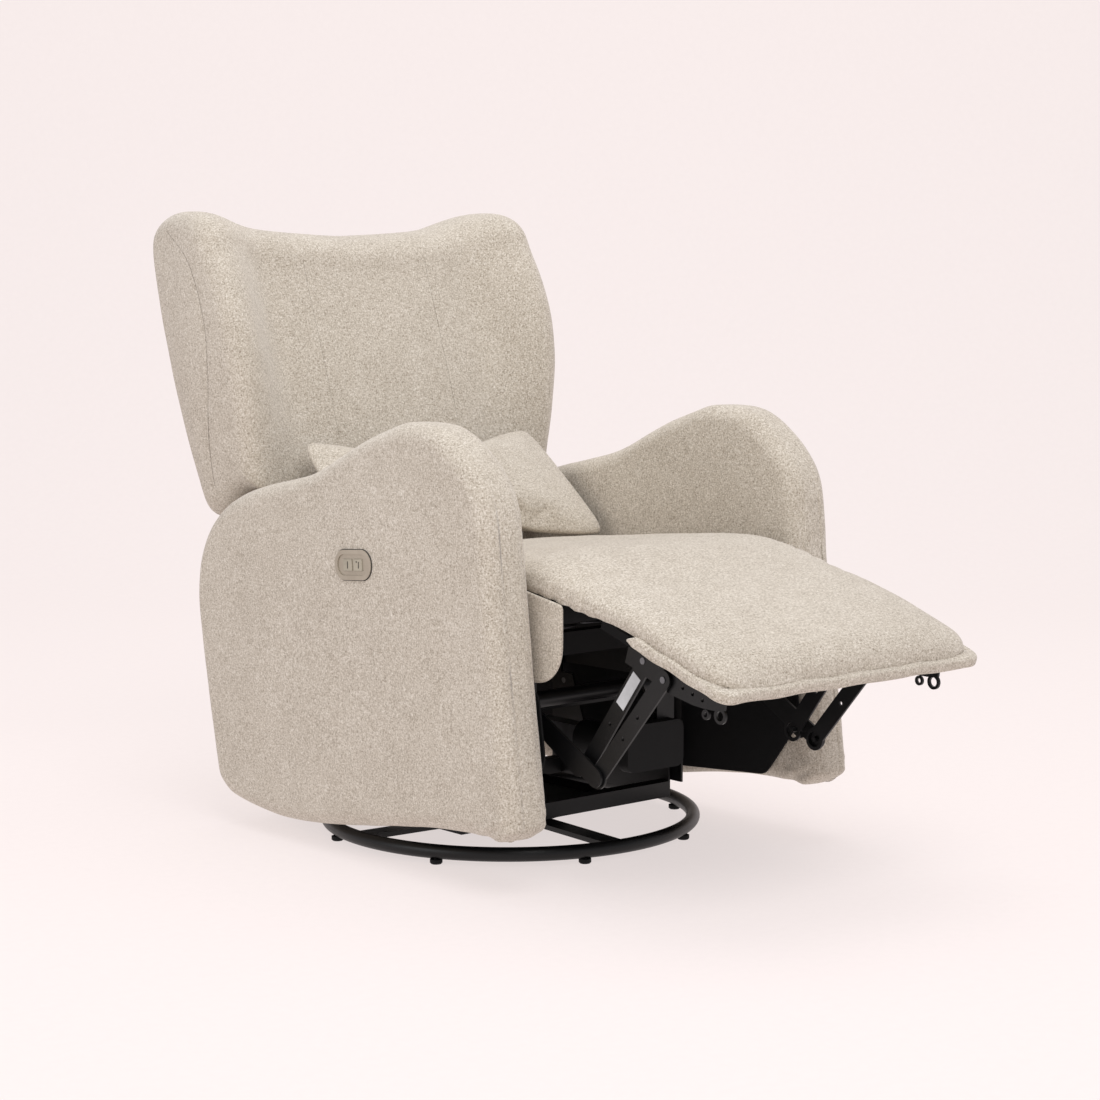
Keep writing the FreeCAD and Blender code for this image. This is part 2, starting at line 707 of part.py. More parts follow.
def back_body():
    """Wing back with a hollow crest, and a narrower part between the arms."""
    low = back_section(WING_BOTTOM_Z, BACK_WING_LOW_HALF, WING_FRONT_LOW_Y)
    high = back_section(WING_TIP_Z, BACK_WING_TOP_HALF, WING_FRONT_TOP_Y)
    wings = Part.makeLoft([low, high], True, True)
    cap_front, cap_top, cap_rear = (352, 968), (440, WING_TIP_Z), (566, 955)
    corners = [cap_rear, (600, 955), (600, WING_BOTTOM_Z), (200, WING_BOTTOM_Z), (200, 700), cap_front]
    edges = [arc(cap_front, cap_top, cap_rear, -400)]
    edges += [line(a, b, -400) for a, b in zip(corners, corners[1:])]
    wings = wings.common(Part.Face(Part.Wire(edges)).extrude(Vector(800, 0, 0)))
    hollow = Part.Arc(
        Vector(-BACK_WING_TOP_HALF + 20, 0, WING_TIP_Z + 4),
        Vector(0, 0, CREST_MID_Z),
        Vector(BACK_WING_TOP_HALF - 20, 0, WING_TIP_Z + 4),
    ).toShape()
    roof = [
        Vector(BACK_WING_TOP_HALF - 20, 0, WING_TIP_Z + 4),
        Vector(BACK_WING_TOP_HALF - 20, 0, WING_TIP_Z + 60),
        Vector(-BACK_WING_TOP_HALF + 20, 0, WING_TIP_Z + 60),
        Vector(-BACK_WING_TOP_HALF + 20, 0, WING_TIP_Z + 4),
    ]
    saddle = Part.Face(Part.Wire([hollow] + Part.makePolygon(roof).Edges)).extrude(Vector(0, 900, 0))
    wings = wings.cut(saddle)
    sweep = pin(BACK_HINGE[0], BACK_HINGE[1], WING_CLEAR_R, BACK_LOWER_HALF, 400)
    wings = wings.cut([sweep, mirrored(sweep)])
    lower = plate(
        [
            (back_front_y(425), 425),
            (back_rear_y(425), 425),
            (back_rear_y(WING_BOTTOM_Z), WING_BOTTOM_Z),
            (back_front_y(WING_BOTTOM_Z), WING_BOTTOM_Z),
        ],
        -BACK_LOWER_HALF,
        BACK_LOWER_HALF,
    )
    return wings.fuse(lower).removeSplitter()


def back_line(z, forward):
    """(y, z) on the frame's plane, forward of the rear face."""
    return (back_rear_y(z) - forward, z)


def back_frame(grow):
    """Steel frame inside the padding: two uprights, a top rail and a middle rail."""
    member = 28.0
    depth_rear = 34.0
    depth_front = depth_rear + 22.0
    inner = 200.0
    low_z, mid_z, high_z = 450.0, 640.0, 900.0
    pieces = []
    for side in (-1, 1):
        x0, x1 = sorted((side * inner, side * (inner + member)))
        outline = [
            back_line(low_z - grow, depth_rear - grow),
            back_line(high_z + member + grow, depth_rear - grow),
            back_line(high_z + member + grow, depth_front + grow),
            back_line(low_z - grow, depth_front + grow),
        ]
        pieces.append(plate(outline, x0 - grow, x1 + grow))
    for z in (mid_z, high_z):
        outline = [
            back_line(z - grow, depth_rear - grow),
            back_line(z + member + grow, depth_rear - grow),
            back_line(z + member + grow, depth_front + grow),
            back_line(z - grow, depth_front + grow),
        ]
        pieces.append(plate(outline, -inner, inner))
    return pieces[0].fuse(pieces[1:]).removeSplitter()


def back_bracket(grow):
    """Hinge plate of one side, from the back hinge up beside the frame's upright."""
    knee = (376.0, 462.0)
    top = (384.0, 545.0)
    width = 34.0
    x0, x1 = BACK_PLATE_X - grow, BACK_PLATE_X + PLATE_T + grow
    arm = link_bar(BACK_HINGE, knee, width + 2 * grow, x0, x1)
    upright = link_bar(knee, top, width + 2 * grow, x0, x1)
    shape = arm.fuse(upright).removeSplitter()
    if grow:
        return shape
    return drill(shape, [BACK_HINGE], PIN_R + 1 + RUN_FIT, x0, x1)


def back_hinge_pins():
    one = pin(BACK_HINGE[0], BACK_HINGE[1], PIN_R + 1, SIDE_PLATE_X - 2, BACK_PLATE_X + PLATE_T + 2)
    return Part.makeCompound([one, mirrored(one)])


def back_padding():
    """Back with pockets for its steel frame and hinge plates."""
    pockets = [back_frame(0.5), back_bracket(0.5), mirrored(back_bracket(0.5))]
    return back_body().cut(pockets)


def lumbar_pillow():
    """Loose pillow: a crowned block on a 39 degree slope."""
    low = (52.0, 468.0)
    length = 252.0
    slope = math.radians(39)
    half_thick = 50.0
    shares = [(0.0, 0.12), (0.18, 0.7), (0.5, 1.0), (0.82, 0.7), (1.0, 0.12)]
    upper = []
    under = []
    for share, thick in shares:
        y = low[0] + share * length * math.cos(slope)
        z = low[1] + share * length * math.sin(slope)
        lift = thick * half_thick
        upper.append((y - lift * math.sin(slope), z + lift * math.cos(slope)))
        under.append((y + lift * 0.8 * math.sin(slope), z - lift * 0.8 * math.cos(slope)))
    return plate(upper + under[::-1], -252, 252)


# ---- switch -------------------------------------------------------------------------------------
def stadium(length, height, x0, x1):
    half = (length - height) / 2
    return link_bar((-half, 0), (half, 0), height, x0, x1)


def placed_switch(shape):
    """Moves a piece drawn about the origin, facing -X, onto the outer face of the right arm."""
    moved = shape.copy()
    moved.rotate(ORIGIN, X_AXIS, -SWITCH_TILT)
    moved.translate(Vector(-ARM_OUTER, SWITCH_Y, SWITCH_Z))
    return moved


def switch_bezel():
    """Oval plate with a sunk middle and a box behind it, open for the two buttons."""
    rim = stadium(SWITCH_LENGTH, SWITCH_HEIGHT, -3.2, -0.1)
    recess = stadium(SWITCH_LENGTH - 14, SWITCH_HEIGHT - 14, -4, -3.2 + SWITCH_RECESS)
    back = box(-0.1, 22, -SWITCH_BACK_HALF, SWITCH_BACK_HALF, -13, 13)
    shape = rim.fuse(back).cut(recess)
    well_half_w = BUTTON_W / 2 + BUTTON_GAP
    well_half_h = BUTTON_H / 2 + BUTTON_GAP
    wells = [box(-5, 4, y - well_half_w, y + well_half_w, -well_half_h, well_half_h) for y in BUTTON_Y]
    return placed_switch(shape.cut(wells).removeSplitter())


def switch_button(y):
    """One rocker, sunk flush with the middle of the bezel."""
    face = -3.0
    button = box(face, face + 4.6, y - BUTTON_W / 2, y + BUTTON_W / 2, -BUTTON_H / 2, BUTTON_H / 2)
    return placed_switch(button)


# ---- write the pieces ---------------------------------------------------------------------------
def write_base():
    save("base_ring", base_ring())
    save("base_cross_bars", base_cross())
    save("foot_glides", foot_glides())
    save("swivel_bearing_lower", bearing_lower())
    save("swivel_kingpin", kingpin())


def write_glider_base():
    save("swivel_bearing_upper", bearing_upper())
    save("glider_tray", glider_tray())
    save("glider_cross_tubes", Part.makeCompound([glider_cross_tube(-1), glider_cross_tube(1)]))
    save_pair("glider_bracket", right(glider_bracket()))
    save("glide_upper_pins", glide_pins(GLIDE_TOP_Z, BASE_PLATE_X, LINK_X + PLATE_T + 1.4))
    driven = PIN_R + RUN_FIT
    open_hole = PIN_R + OPEN_PIVOT_GAP
    save("glide_link_front_right", right(glide_link(-GLIDE_PIVOT_Y, driven)))
    save("glide_link_front_left", glide_link(-GLIDE_PIVOT_Y, open_hole))
    save("glide_link_rear_right", right(glide_link(GLIDE_PIVOT_Y, open_hole)))
    save("glide_link_rear_left", glide_link(GLIDE_PIVOT_Y, open_hole))


def write_seat():
    save("glide_lower_pins", glide_pins(GLIDE_BOTTOM_Z, LINK_X - 1.2, HANGER_X + PLATE_T))
    save_pair("seat_hanger", right(seat_hanger()))
    save_pair("seat_side_plate", right(seat_side_plate()))
    save("seat_cross_tubes", Part.makeCompound([seat_cross_tube(-235, 240), seat_cross_tube(178, 236)]))
    save("seat_rail_front", seat_rail(SEAT_HALF, -368, -346, 350, 385))
    save("seat_rail_rear", seat_rail(SIDE_PLATE_X, 208, 232, 312, 336))
    save("seat_springs", seat_springs())
    save("seat_cushion", seat_cushion())
    save_pair("seat_box_side", right(seat_box_side()))
    left_padding = arm_padding()
    save("arm_padding_left", left_padding)
    save("arm_padding_right", mirrored(left_padding).cut(switch_pocket()))
    save_pair("arm_board", right(arm_board_solid(0)))
    save_pair("arm_lining", right(arm_lining()))
    save("rear_panel", rear_panel())
    save("switch_bezel", switch_bezel())
    save("actuator_rail", actuator_rail())
    save("actuator_gearbox", actuator_gearbox())
    save("actuator_motor", actuator_motor())
    save("actuator_mounts", Part.makeCompound([actuator_rear_mount(), actuator_front_mount()]))
    save("power_inlet", power_inlet())
    save("back_hinge_pins", back_hinge_pins())


def write_footrest():
    save("chaise_pad", chaise_pad())
    save("footrest_board", footrest_board())
    save_pair("footrest_rail", right(footrest_rail()))
    save("footrest_cross_bar", footrest_cross_bar())
    save("footrest_rail_pins", footrest_rail_pins())
    save("footrest_crank", footrest_crank())
    save_pair("footrest_link_front", right(footrest_link(RAIL_PIVOT_FRONT, CRANK_PIVOT_FRONT, LINK_X)))
    save_pair("footrest_link_rear", right(footrest_link(RAIL_PIVOT_REAR, CRANK_PIVOT_REAR, REAR_LINK_X)))
    save("actuator_carriage", actuator_carriage())


def write_back():
    save("back_padding", back_padding())
    save("back_frame", back_frame(0))
    save_pair("back_bracket", right(back_bracket(0)))
    save("lumbar_pillow", lumbar_pillow())


def write_buttons():
    save("button_footrest", switch_button(BUTTON_Y[0]))
    save("button_back", switch_button(BUTTON_Y[1]))


write_base()
write_glider_base()
write_seat()
write_footrest()
write_back()
write_buttons()
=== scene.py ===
"""Looks of the power glider recliner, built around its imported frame. Metres, +Z up, the chair faces -Y."""

import json
import math

import bpy
import numpy as np
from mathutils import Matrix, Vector, noise


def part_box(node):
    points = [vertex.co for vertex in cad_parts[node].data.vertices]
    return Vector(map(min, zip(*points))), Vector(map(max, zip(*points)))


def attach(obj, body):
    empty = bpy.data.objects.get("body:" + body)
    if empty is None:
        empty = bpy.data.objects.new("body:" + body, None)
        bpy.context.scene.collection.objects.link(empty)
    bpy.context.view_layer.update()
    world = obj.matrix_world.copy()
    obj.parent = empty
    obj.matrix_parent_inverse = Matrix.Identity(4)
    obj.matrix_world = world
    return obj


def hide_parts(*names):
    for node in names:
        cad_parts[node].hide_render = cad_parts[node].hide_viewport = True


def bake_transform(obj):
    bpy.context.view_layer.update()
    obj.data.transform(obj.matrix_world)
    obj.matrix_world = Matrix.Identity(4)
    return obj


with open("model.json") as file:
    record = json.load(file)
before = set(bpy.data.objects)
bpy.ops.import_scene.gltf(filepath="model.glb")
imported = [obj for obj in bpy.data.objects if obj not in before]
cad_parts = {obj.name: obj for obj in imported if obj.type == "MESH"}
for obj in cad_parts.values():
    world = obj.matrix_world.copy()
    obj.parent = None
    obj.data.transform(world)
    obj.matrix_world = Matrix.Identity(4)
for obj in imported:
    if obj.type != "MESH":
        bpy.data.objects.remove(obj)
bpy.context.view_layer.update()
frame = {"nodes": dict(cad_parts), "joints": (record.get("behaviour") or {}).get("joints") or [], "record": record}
JOINTS = {joint["name"]: joint for joint in frame["joints"]}
FOOT_HINGE = Vector(JOINTS["footrest_fold"]["pos_m"])
BACK_HINGE = Vector(JOINTS["back_recline"]["pos_m"])


# ---- materials ----------------------------------------------------------------------------------
def srgb(red, green, blue):
    """0-255 screen values as a linear colour."""
    linear = []
    for value in (red, green, blue):
        share = value / 255
        linear.append(share / 12.92 if share <= 0.04045 else ((share + 0.055) / 1.055) ** 2.4)
    return (*linear, 1.0)


class Nodes:
    """A small helper that adds and links shader nodes."""

    def __init__(self, name):
        self.material = bpy.data.materials.new(name)
        self.material.use_nodes = True
        self.tree = self.material.node_tree
        self.shader = self.tree.nodes["Principled BSDF"]

    def add(self, kind, **values):
        node = self.tree.nodes.new(kind)
        for key, value in values.items():
            if hasattr(node, key):
                setattr(node, key, value)
            else:
                node.inputs[key.replace("_", " ")].default_value = value
        return node

    def link(self, source, target):
        self.tree.links.new(source, target)

    def value(self, socket, number):
        self.shader.inputs[socket].default_value = number

    def rest_place(self):
        """Place on the piece as built, so that the cloth's yarns stay with it."""
        return self.add("ShaderNodeAttribute", attribute_name="rest").outputs["Vector"]

    def object_place(self):
        return self.add("ShaderNodeTexCoord").outputs["Object"]

    def noise(self, place, scale, detail=2.0, roughness=0.5, stretch=None):
        if stretch:
            mapping = self.add("ShaderNodeMapping")
            mapping.inputs["Scale"].default_value = stretch
            self.link(place, mapping.inputs["Vector"])
            place = mapping.outputs["Vector"]
        node = self.add("ShaderNodeTexNoise")
        node.inputs["Scale"].default_value = scale
        node.inputs["Detail"].default_value = detail
        node.inputs["Roughness"].default_value = roughness
        self.link(place, node.inputs["Vector"])
        return node.outputs["Fac"]

    def cells(self, place, scale):
        node = self.add("ShaderNodeTexVoronoi")
        node.inputs["Scale"].default_value = scale
        self.link(place, node.inputs["Vector"])
        return node

    def math(self, operation, a, b):
        node = self.add("ShaderNodeMath", operation=operation)
        for index, value in enumerate((a, b)):
            if isinstance(value, (int, float)):
                node.inputs[index].default_value = value
            else:
                self.link(value, node.inputs[index])
        return node.outputs["Value"]

    def ramp(self, factor, stops):
        node = self.add("ShaderNodeValToRGB")
        elements = node.color_ramp.elements
        while len(elements) < len(stops):
            elements.new(0.5)
        for element, (position, colour) in zip(elements, stops):
            element.position = position
            element.color = colour
        self.link(factor, node.inputs["Fac"])
        return node.outputs["Color"]

    def mix(self, factor, a, b, blend="MIX"):
        node = self.add("ShaderNodeMix", data_type="RGBA", blend_type=blend)
        sockets = (node.inputs["Factor"], node.inputs[6], node.inputs[7])
        for socket, value in zip(sockets, (factor, a, b)):
            if isinstance(value, (int, float, tuple)):
                socket.default_value = value
            else:
                self.link(value, socket)
        return node.outputs[2]

    def bump(self, height, strength, distance):
        node = self.add("ShaderNodeBump")
        node.inputs["Strength"].default_value = strength
        node.inputs["Distance"].default_value = distance
        self.link(height, node.inputs["Height"])
        self.link(node.outputs["Normal"], self.shader.inputs["Normal"])


YARN = 1 / 0.0021      # yarns per metre of the tweed


def tweed(name, dark, middle, light):
    """Fine mottled boucle tweed: short yarn streaks along each axis, loops and pale and dark flecks."""
    n = Nodes(name)
    place = n.rest_place()
    streaks = []
    for axis in range(3):
        stretch = [1.0, 1.0, 1.0]
        stretch[axis] = 0.30
        streaks.append(n.noise(place, YARN, 2.0, 0.55, stretch))
    weave = n.math("MULTIPLY", n.math("ADD", n.math("ADD", streaks[0], streaks[1]), streaks[2]), 1 / 3)
    grain = n.noise(place, YARN * 0.8, 3.0, 0.65)
    slub = n.noise(place, 26.0, 3.0, 0.6)
    cloud = n.noise(place, 5.0, 2.0, 0.5)
    loops = n.cells(place, YARN * 0.72)
    tone = n.math("ADD", n.math("MULTIPLY", weave, 0.55), n.math("MULTIPLY", grain, 0.45))
    tone = n.math("ADD", tone, n.math("MULTIPLY", n.math("SUBTRACT", slub, 0.5), 0.06))
    tone = n.math("ADD", tone, n.math("MULTIPLY", n.math("SUBTRACT", cloud, 0.5), 0.04))
    colour = n.ramp(tone, [(0.36, dark), (0.50, middle), (0.64, light)])
    fleck = n.ramp(n.noise(place, YARN * 0.55, 1.0, 0.4), [(0.66, (0, 0, 0, 1)), (0.74, (1, 1, 1, 1))])
    colour = n.mix(n.math("MULTIPLY", fleck, 0.5), colour, dark)
    n.link(colour, n.shader.inputs["Base Color"])
    dips = n.math("MULTIPLY", loops.outputs["Distance"], -0.5)
    height = n.math("ADD", n.math("MULTIPLY", weave, 0.6), dips)
    height = n.math("ADD", height, n.math("MULTIPLY", grain, 0.5))
    n.bump(height, 0.55, 0.0016)
    n.value("Roughness", 0.95)
    n.value("Sheen Weight", 0.25)
    n.value("Sheen Roughness", 0.6)
    n.value("Specular IOR Level", 0.15)
    return n.material


def dust_cloth(name):
    """Thin black non-woven cloth stapled over the inside of the frame."""
    n = Nodes(name)
    place = n.rest_place()
    fibres = n.noise(place, 900.0, 3.0, 0.7)
    cloud = n.noise(place, 9.0, 3.0, 0.6)
    tone = n.math("ADD", n.math("MULTIPLY", fibres, 0.6), n.math("MULTIPLY", cloud, 0.4))
    n.link(n.ramp(tone, [(0.3, srgb(7, 7, 8)), (0.7, srgb(17, 17, 18))]), n.shader.inputs["Base Color"])
    n.bump(n.math("ADD", fibres, n.math("MULTIPLY", cloud, 2.0)), 0.4, 0.0015)
    n.value("Roughness", 0.85)
    n.value("Specular IOR Level", 0.25)
    return n.material


def metal(name, low, high, roughness, metallic, grain=220.0, bump=0.08):
    """Painted or plated steel with a faint orange peel and rubbed patches."""
    n = Nodes(name)
    place = n.object_place()
    peel = n.noise(place, grain, 2.0, 0.5)
    rub = n.noise(place, 12.0, 4.0, 0.65)
    n.link(n.ramp(rub, [(0.35, low), (0.68, high)]), n.shader.inputs["Base Color"])
    spread = n.math("ADD", roughness - 0.07, n.math("MULTIPLY", rub, 0.16))
    n.link(spread, n.shader.inputs["Roughness"])
    n.value("Metallic", metallic)
    n.bump(peel, bump, 0.0006)
    return n.material


def plastic(name, colour, roughness):
    n = Nodes(name)
    place = n.object_place()
    spark = n.noise(place, 1400.0, 2.0, 0.6)
    wear = n.noise(place, 30.0, 3.0, 0.6)
    shade = tuple(channel * 0.8 for channel in colour[:3]) + (1.0,)
    n.link(n.ramp(wear, [(0.35, shade), (0.65, colour)]), n.shader.inputs["Base Color"])
    n.link(n.math("ADD", roughness, n.math("MULTIPLY", wear, 0.1)), n.shader.inputs["Roughness"])
    n.bump(spark, 0.12, 0.0004)
    return n.material


def plywood(name):
    n = Nodes(name)
    place = n.object_place()
    grain = n.noise(place, 60.0, 4.0, 0.65, (0.15, 1.0, 1.0))
    stops = [(0.3, srgb(150, 116, 78)), (0.7, srgb(196, 160, 114))]
    n.link(n.ramp(grain, stops), n.shader.inputs["Base Color"])
    n.bump(grain, 0.2, 0.001)
    n.value("Roughness", 0.7)
    return n.material


FABRIC = tweed("oatmeal_tweed", srgb(136, 124, 108), srgb(191, 181, 166), srgb(227, 220, 209))
# Darker tweed for the seam lines: the seams are real, their darker colour is painted shade of the creases along
# them.
SEAM_CREASE_SHADE = tweed("seam_crease_shade", srgb(104, 95, 84), srgb(140, 131, 118), srgb(170, 161, 148))
CLOTH_BLACK = dust_cloth("black_dust_cloth")
STEEL = metal("black_steel", srgb(6, 6, 7), srgb(17, 17, 18), 0.38, 0.0)
STEEL.node_tree.nodes["Principled BSDF"].inputs["Specular IOR Level"].default_value = 0.35
ZINC = metal("zinc", srgb(92, 92, 95), srgb(140, 140, 144), 0.4, 0.9)
ALUMINIUM = metal("aluminium_rail", srgb(60, 60, 62), srgb(96, 96, 99), 0.45, 0.8)
NICKEL = metal("taupe_nickel", srgb(166, 156, 140), srgb(186, 176, 160), 0.34, 0.35, 700.0, 0.04)
BUTTON = plastic("button_taupe", srgb(176, 168, 150), 0.4)
# Dark plastic for the printed button marks, and also painted shadow for the thin ring round the switch.
DARK_ICON_AND_SHADOW = plastic("dark_icon_and_shadow", srgb(58, 54, 48), 0.6)
PLASTIC_BLACK = plastic("black_plastic", srgb(8, 8, 9), 0.6)
PLASTIC_BLACK.node_tree.nodes["Principled BSDF"].inputs["Specular IOR Level"].default_value = 0.25
LABEL = plastic("blank_label", srgb(214, 216, 218), 0.5)
PLYWOOD = plywood("plywood")

SLOT_LOOKS = {
    "black_steel": STEEL,
    "pin_steel": ZINC,
    "wood": PLYWOOD,
    "spring_wire": ZINC,
    "glide_plastic": PLASTIC_BLACK,
    "switch_metal": NICKEL,
    "button_plastic": BUTTON,
    "actuator_plastic": PLASTIC_BLACK,
    "aluminium": ALUMINIUM,
    "lining": CLOTH_BLACK,
    "upholstery": FABRIC,
}


# ---- mesh helpers -------------------------------------------------------------------------------
def keep_rest(obj):
    """Stores each vertex's place as attribute rest, which the cloth materials read."""
    count = len(obj.data.vertices)
    places = np.zeros(count * 3, np.float32)
    obj.data.vertices.foreach_get("co", places)
    attribute = obj.data.attributes.get("rest") or obj.data.attributes.new("rest", "FLOAT_VECTOR", "POINT")
    attribute.data.foreach_set("vector", places)
    return obj


def mesh_object(name, points, faces, material, smooth=True):
    mesh = bpy.data.meshes.new(name)
    mesh.from_pydata([tuple(map(float, p)) for p in points], [], faces)
    mesh.validate()
    obj = bpy.data.objects.new(name, mesh)
    bpy.context.scene.collection.objects.link(obj)
    mesh.materials.append(material)
    if smooth:
        mesh.polygons.foreach_set("use_smooth", [True] * len(mesh.polygons))
    fix_normals(obj)
    return keep_rest(obj)


def fix_normals(obj):
    import bmesh

    work = bmesh.new()
    work.from_mesh(obj.data)
    bmesh.ops.recalc_face_normals(work, faces=work.faces)
    work.to_mesh(obj.data)
    work.free()


def tube_faces(rings, around, start=0):
    """Faces between successive closed rings of vertices."""
    faces = []
    for i in range(rings - 1):
        for j in range(around):
            k = (j + 1) % around
            a, b = start + i * around, start + (i + 1) * around
            faces.append((a + j, a + k, b + k, b + j))
    return faces


def skin(name, rings, material):
    """A closed body from an array of closed rings (ring, place, xyz), its ends filled from a middle point."""
    count, around = rings.shape[:2]
    points = list(rings.reshape(-1, 3))
    faces = tube_faces(count, around)
    for base, flip in ((0, True), ((count - 1) * around, False)):
        middle = len(points)
        points.append(np.mean(rings[0 if flip else -1], axis=0))
        for j in range(around):
            k = (j + 1) % around
            faces.append((base + k, base + j, middle) if flip else (base + j, base + k, middle))
    return mesh_object(name, points, faces, material)


def catmull(points, count, closed=False):
    """Evenly spaced points on a smooth curve through the given ones."""
    points = np.array(points, float)
    total = len(points)
    if closed:
        spread = np.vstack([points[-1:], points, points[:2]])
        spans = total
    else:
        spread = np.vstack([2 * points[0] - points[1], points, 2 * points[-1] - points[-2]])
        spans = total - 1
    fine = []
    steps = 24
    for i in range(spans):
        p0, p1, p2, p3 = spread[i : i + 4]
        for t in np.arange(steps) / steps:
            second = 2 * p0 - 5 * p1 + 4 * p2 - p3
            third = 3 * p1 - p0 - 3 * p2 + p3
            fine.append(0.5 * (2 * p1 + (p2 - p0) * t + second * t**2 + third * t**3))
    if not closed:
        fine.append(points[-1])
    fine = np.array(fine)
    loop = np.vstack([fine, fine[:1]]) if closed else fine
    length = np.concatenate([[0], np.cumsum(np.linalg.norm(np.diff(loop, axis=0), axis=1))])
    targets = np.linspace(0, length[-1], count + 1)[:-1] if closed else np.linspace(0, length[-1], count)
    return np.stack([np.interp(targets, length, loop[:, k]) for k in range(points.shape[1])], axis=1)


def ease(value, low, high):
    share = np.clip((np.asarray(value, float) - low) / (high - low), 0, 1)
    return share * share * (3 - 2 * share)


def ripple(point, size, seed):
    """Smooth random height, -1 to 1, over features of that size."""
    return noise.noise(Vector((point[0] / size + seed, point[1] / size - seed, point[2] / size + 2 * seed)))


# ---- arms ---------------------------------------------------------------------------------------
ARM_ROUND = 0.029         # how far the rounded edge reaches in from the outline
ARM_ROUND_X = 0.031       # and along the arm's width
ARM_CROWN = 0.005
AROUND = 320


def spaced(loop, count):
    """The closed loop again, with evenly spaced points."""
    closed = np.vstack([loop, loop[:1]])
    length = np.concatenate([[0], np.cumsum(np.linalg.norm(np.diff(closed, axis=0), axis=1))])
    targets = np.linspace(0, length[-1], count + 1)[:-1]
    return np.stack([np.interp(targets, length, closed[:, k]) for k in range(loop.shape[1])], axis=1)


def softened(loop, passes):
    for _ in range(passes):
        loop = (np.roll(loop, 1, 0) + 2 * loop + np.roll(loop, -1, 0)) / 4
    return loop


def inward(loop, passes):
    """Unit vectors into a counter-clockwise outline, softened so that corners don't cross."""
    along = np.roll(loop, -1, 0) - np.roll(loop, 1, 0)
    normal = softened(np.column_stack([-along[:, 1], along[:, 0]]), passes)
    return normal / np.linalg.norm(normal, axis=1, keepdims=True)


def side_outline(node, plane_x, count):
    """Side view outline (y, z) of a CAD node from its vertices in the plane x = plane_x."""
    places = np.array([v.co for v in frame["nodes"][node].data.vertices])
    rim = places[np.abs(places[:, 0] - plane_x) < 3e-4][:, 1:]
    middle = (rim.min(0) + rim.max(0)) / 2
    rim = rim[np.argsort(np.arctan2(rim[:, 1] - middle[1], rim[:, 0] - middle[0]))]
    keep = [rim[0]]
    for point in rim[1:]:
        if np.linalg.norm(point - keep[-1]) > 0.002:
            keep.append(point)
    return spaced(np.array(keep), count), middle


def slab_rings(outline, middle, sign, centre_x, half, edge, edge_x, crown, marks=(), fill=18, passes=16):
    """Rings of a padded slab that stands in the side view: crowned faces and rounded edges."""
    toward = inward(outline, passes)
    flat = half - crown - edge_x

    def ring(inset, offset, share=1.0):
        loop = outline + toward * inset
        loop = middle + (loop - middle) * share
        return np.column_stack([np.full(len(loop), centre_x + sign * offset), loop])

    offsets = [flat + edge_x * math.cos(turn) for turn in np.linspace(0, math.pi / 2, 15)]
    offsets += [-value for value in offsets] + list(np.linspace(-flat, flat, 9))
    for mark in marks:
        offsets += [mark + step for step in (-0.005, -0.0025, -0.001, 0, 0.001, 0.0025, 0.005)]
    offsets = np.unique(np.round([value for value in offsets if abs(value) <= half - crown], 5))
    rings = []
    for share in np.linspace(0.05, 0.975, fill):
        rings.append(ring(edge, -(half - crown * share**3), share))
    for offset in offsets:
        past = max(0.0, abs(offset) - flat) / edge_x
        rings.append(ring(edge * (1 - math.sqrt(max(0.0, 1 - past**2))), offset))
    for share in np.linspace(0.975, 0.05, fill):
        rings.append(ring(edge, half - crown * share**3, share))
    return np.array(rings)


def dent(obj, depth_at):
    """Pushes the surface in along its normals by depth_at(place), in metres."""
    normals = [v.normal.copy() for v in obj.data.vertices]
    for vertex, normal in zip(obj.data.vertices, normals):
        vertex.co -= normal * depth_at(vertex.co)
    obj.data.update()
    return keep_rest(obj)


def loosen(obj, amounts, seed):
    """Small uneven hills of hand-fitted cloth: pairs of height and size."""

    def lift(place):
        return -sum(height * ripple(place, size, seed) for height, size in amounts)

    return dent(obj, lift)


def make_arm(side):
    node = f"arm_padding_{side}"
    low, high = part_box(node)
    sign = 1 if side == "left" else -1
    centre_x, half = (low.x + high.x) / 2, (high.x - low.x) / 2
    outline, middle = side_outline(node, centre_x - sign * (half - 0.014), AROUND)
    outline = softened(outline, 3)
    outline -= inward(outline, 4) * 0.0035
    marks = (-0.027, 0.013)
    rings = slab_rings(outline, middle, sign, centre_x, half, ARM_ROUND, ARM_ROUND_X, ARM_CROWN, marks)
    cover = skin(f"arm_cover_{side}", rings, FABRIC)
    front_y = float(outline[:, 0].min())

    def seam_depth(place):
        if place.y > front_y + 0.16:
            return 0.0
        offset = (place.x - centre_x) * sign
        near_front = float(1 - ease(place.y, front_y + 0.07, front_y + 0.13))
        depth = sum(0.0009 * math.exp(-(((offset - mark) / 0.0016) ** 2)) for mark in marks)
        depth += sum(0.0009 * math.exp(-(((offset - mark) / 0.007) ** 2)) for mark in marks)
        return depth * near_front * float(1 - ease(place.z, 0.56, 0.66))

    loosen(cover, ((0.0018, 0.17), (0.0007, 0.05)), 3.1 * sign)
    dent(cover, seam_depth)

    def corner_folds(place):
        near = math.exp(-(((place.y + 0.40) / 0.05) ** 2) - (((place.z - 0.10) / 0.035) ** 2))
        return 0.0022 * near * math.sin((place.z + place.y * 0.5) * 260)

    dent(cover, corner_folds)
    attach(cover, "seat")
    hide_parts(node)
    return cover


# ---- back ---------------------------------------------------------------------------------------
CREST_MIDDLE, CREST_TIP = 0.981, 1.021
WING_HALF_LOW, WING_HALF_HIGH = 0.312, 0.357      # half width at the wing's bottom and near its tip
WING_FRONT_Y = 0.272                              # front edge of a wing, upright below the sweep
WING_SWEEP_START, WING_SWEEP = 0.660, 0.082       # then it leans back by this much up to the tip
WING_CLEAR = 0.176        # wings stay outside this radius about the back hinge, clear of the arms
BACK_ROUND, BACK_ROUND_X = 0.036, 0.032
BACK_BOTTOM, WING_BOTTOM = 0.427, 0.500
CAP_HEIGHT = 0.060


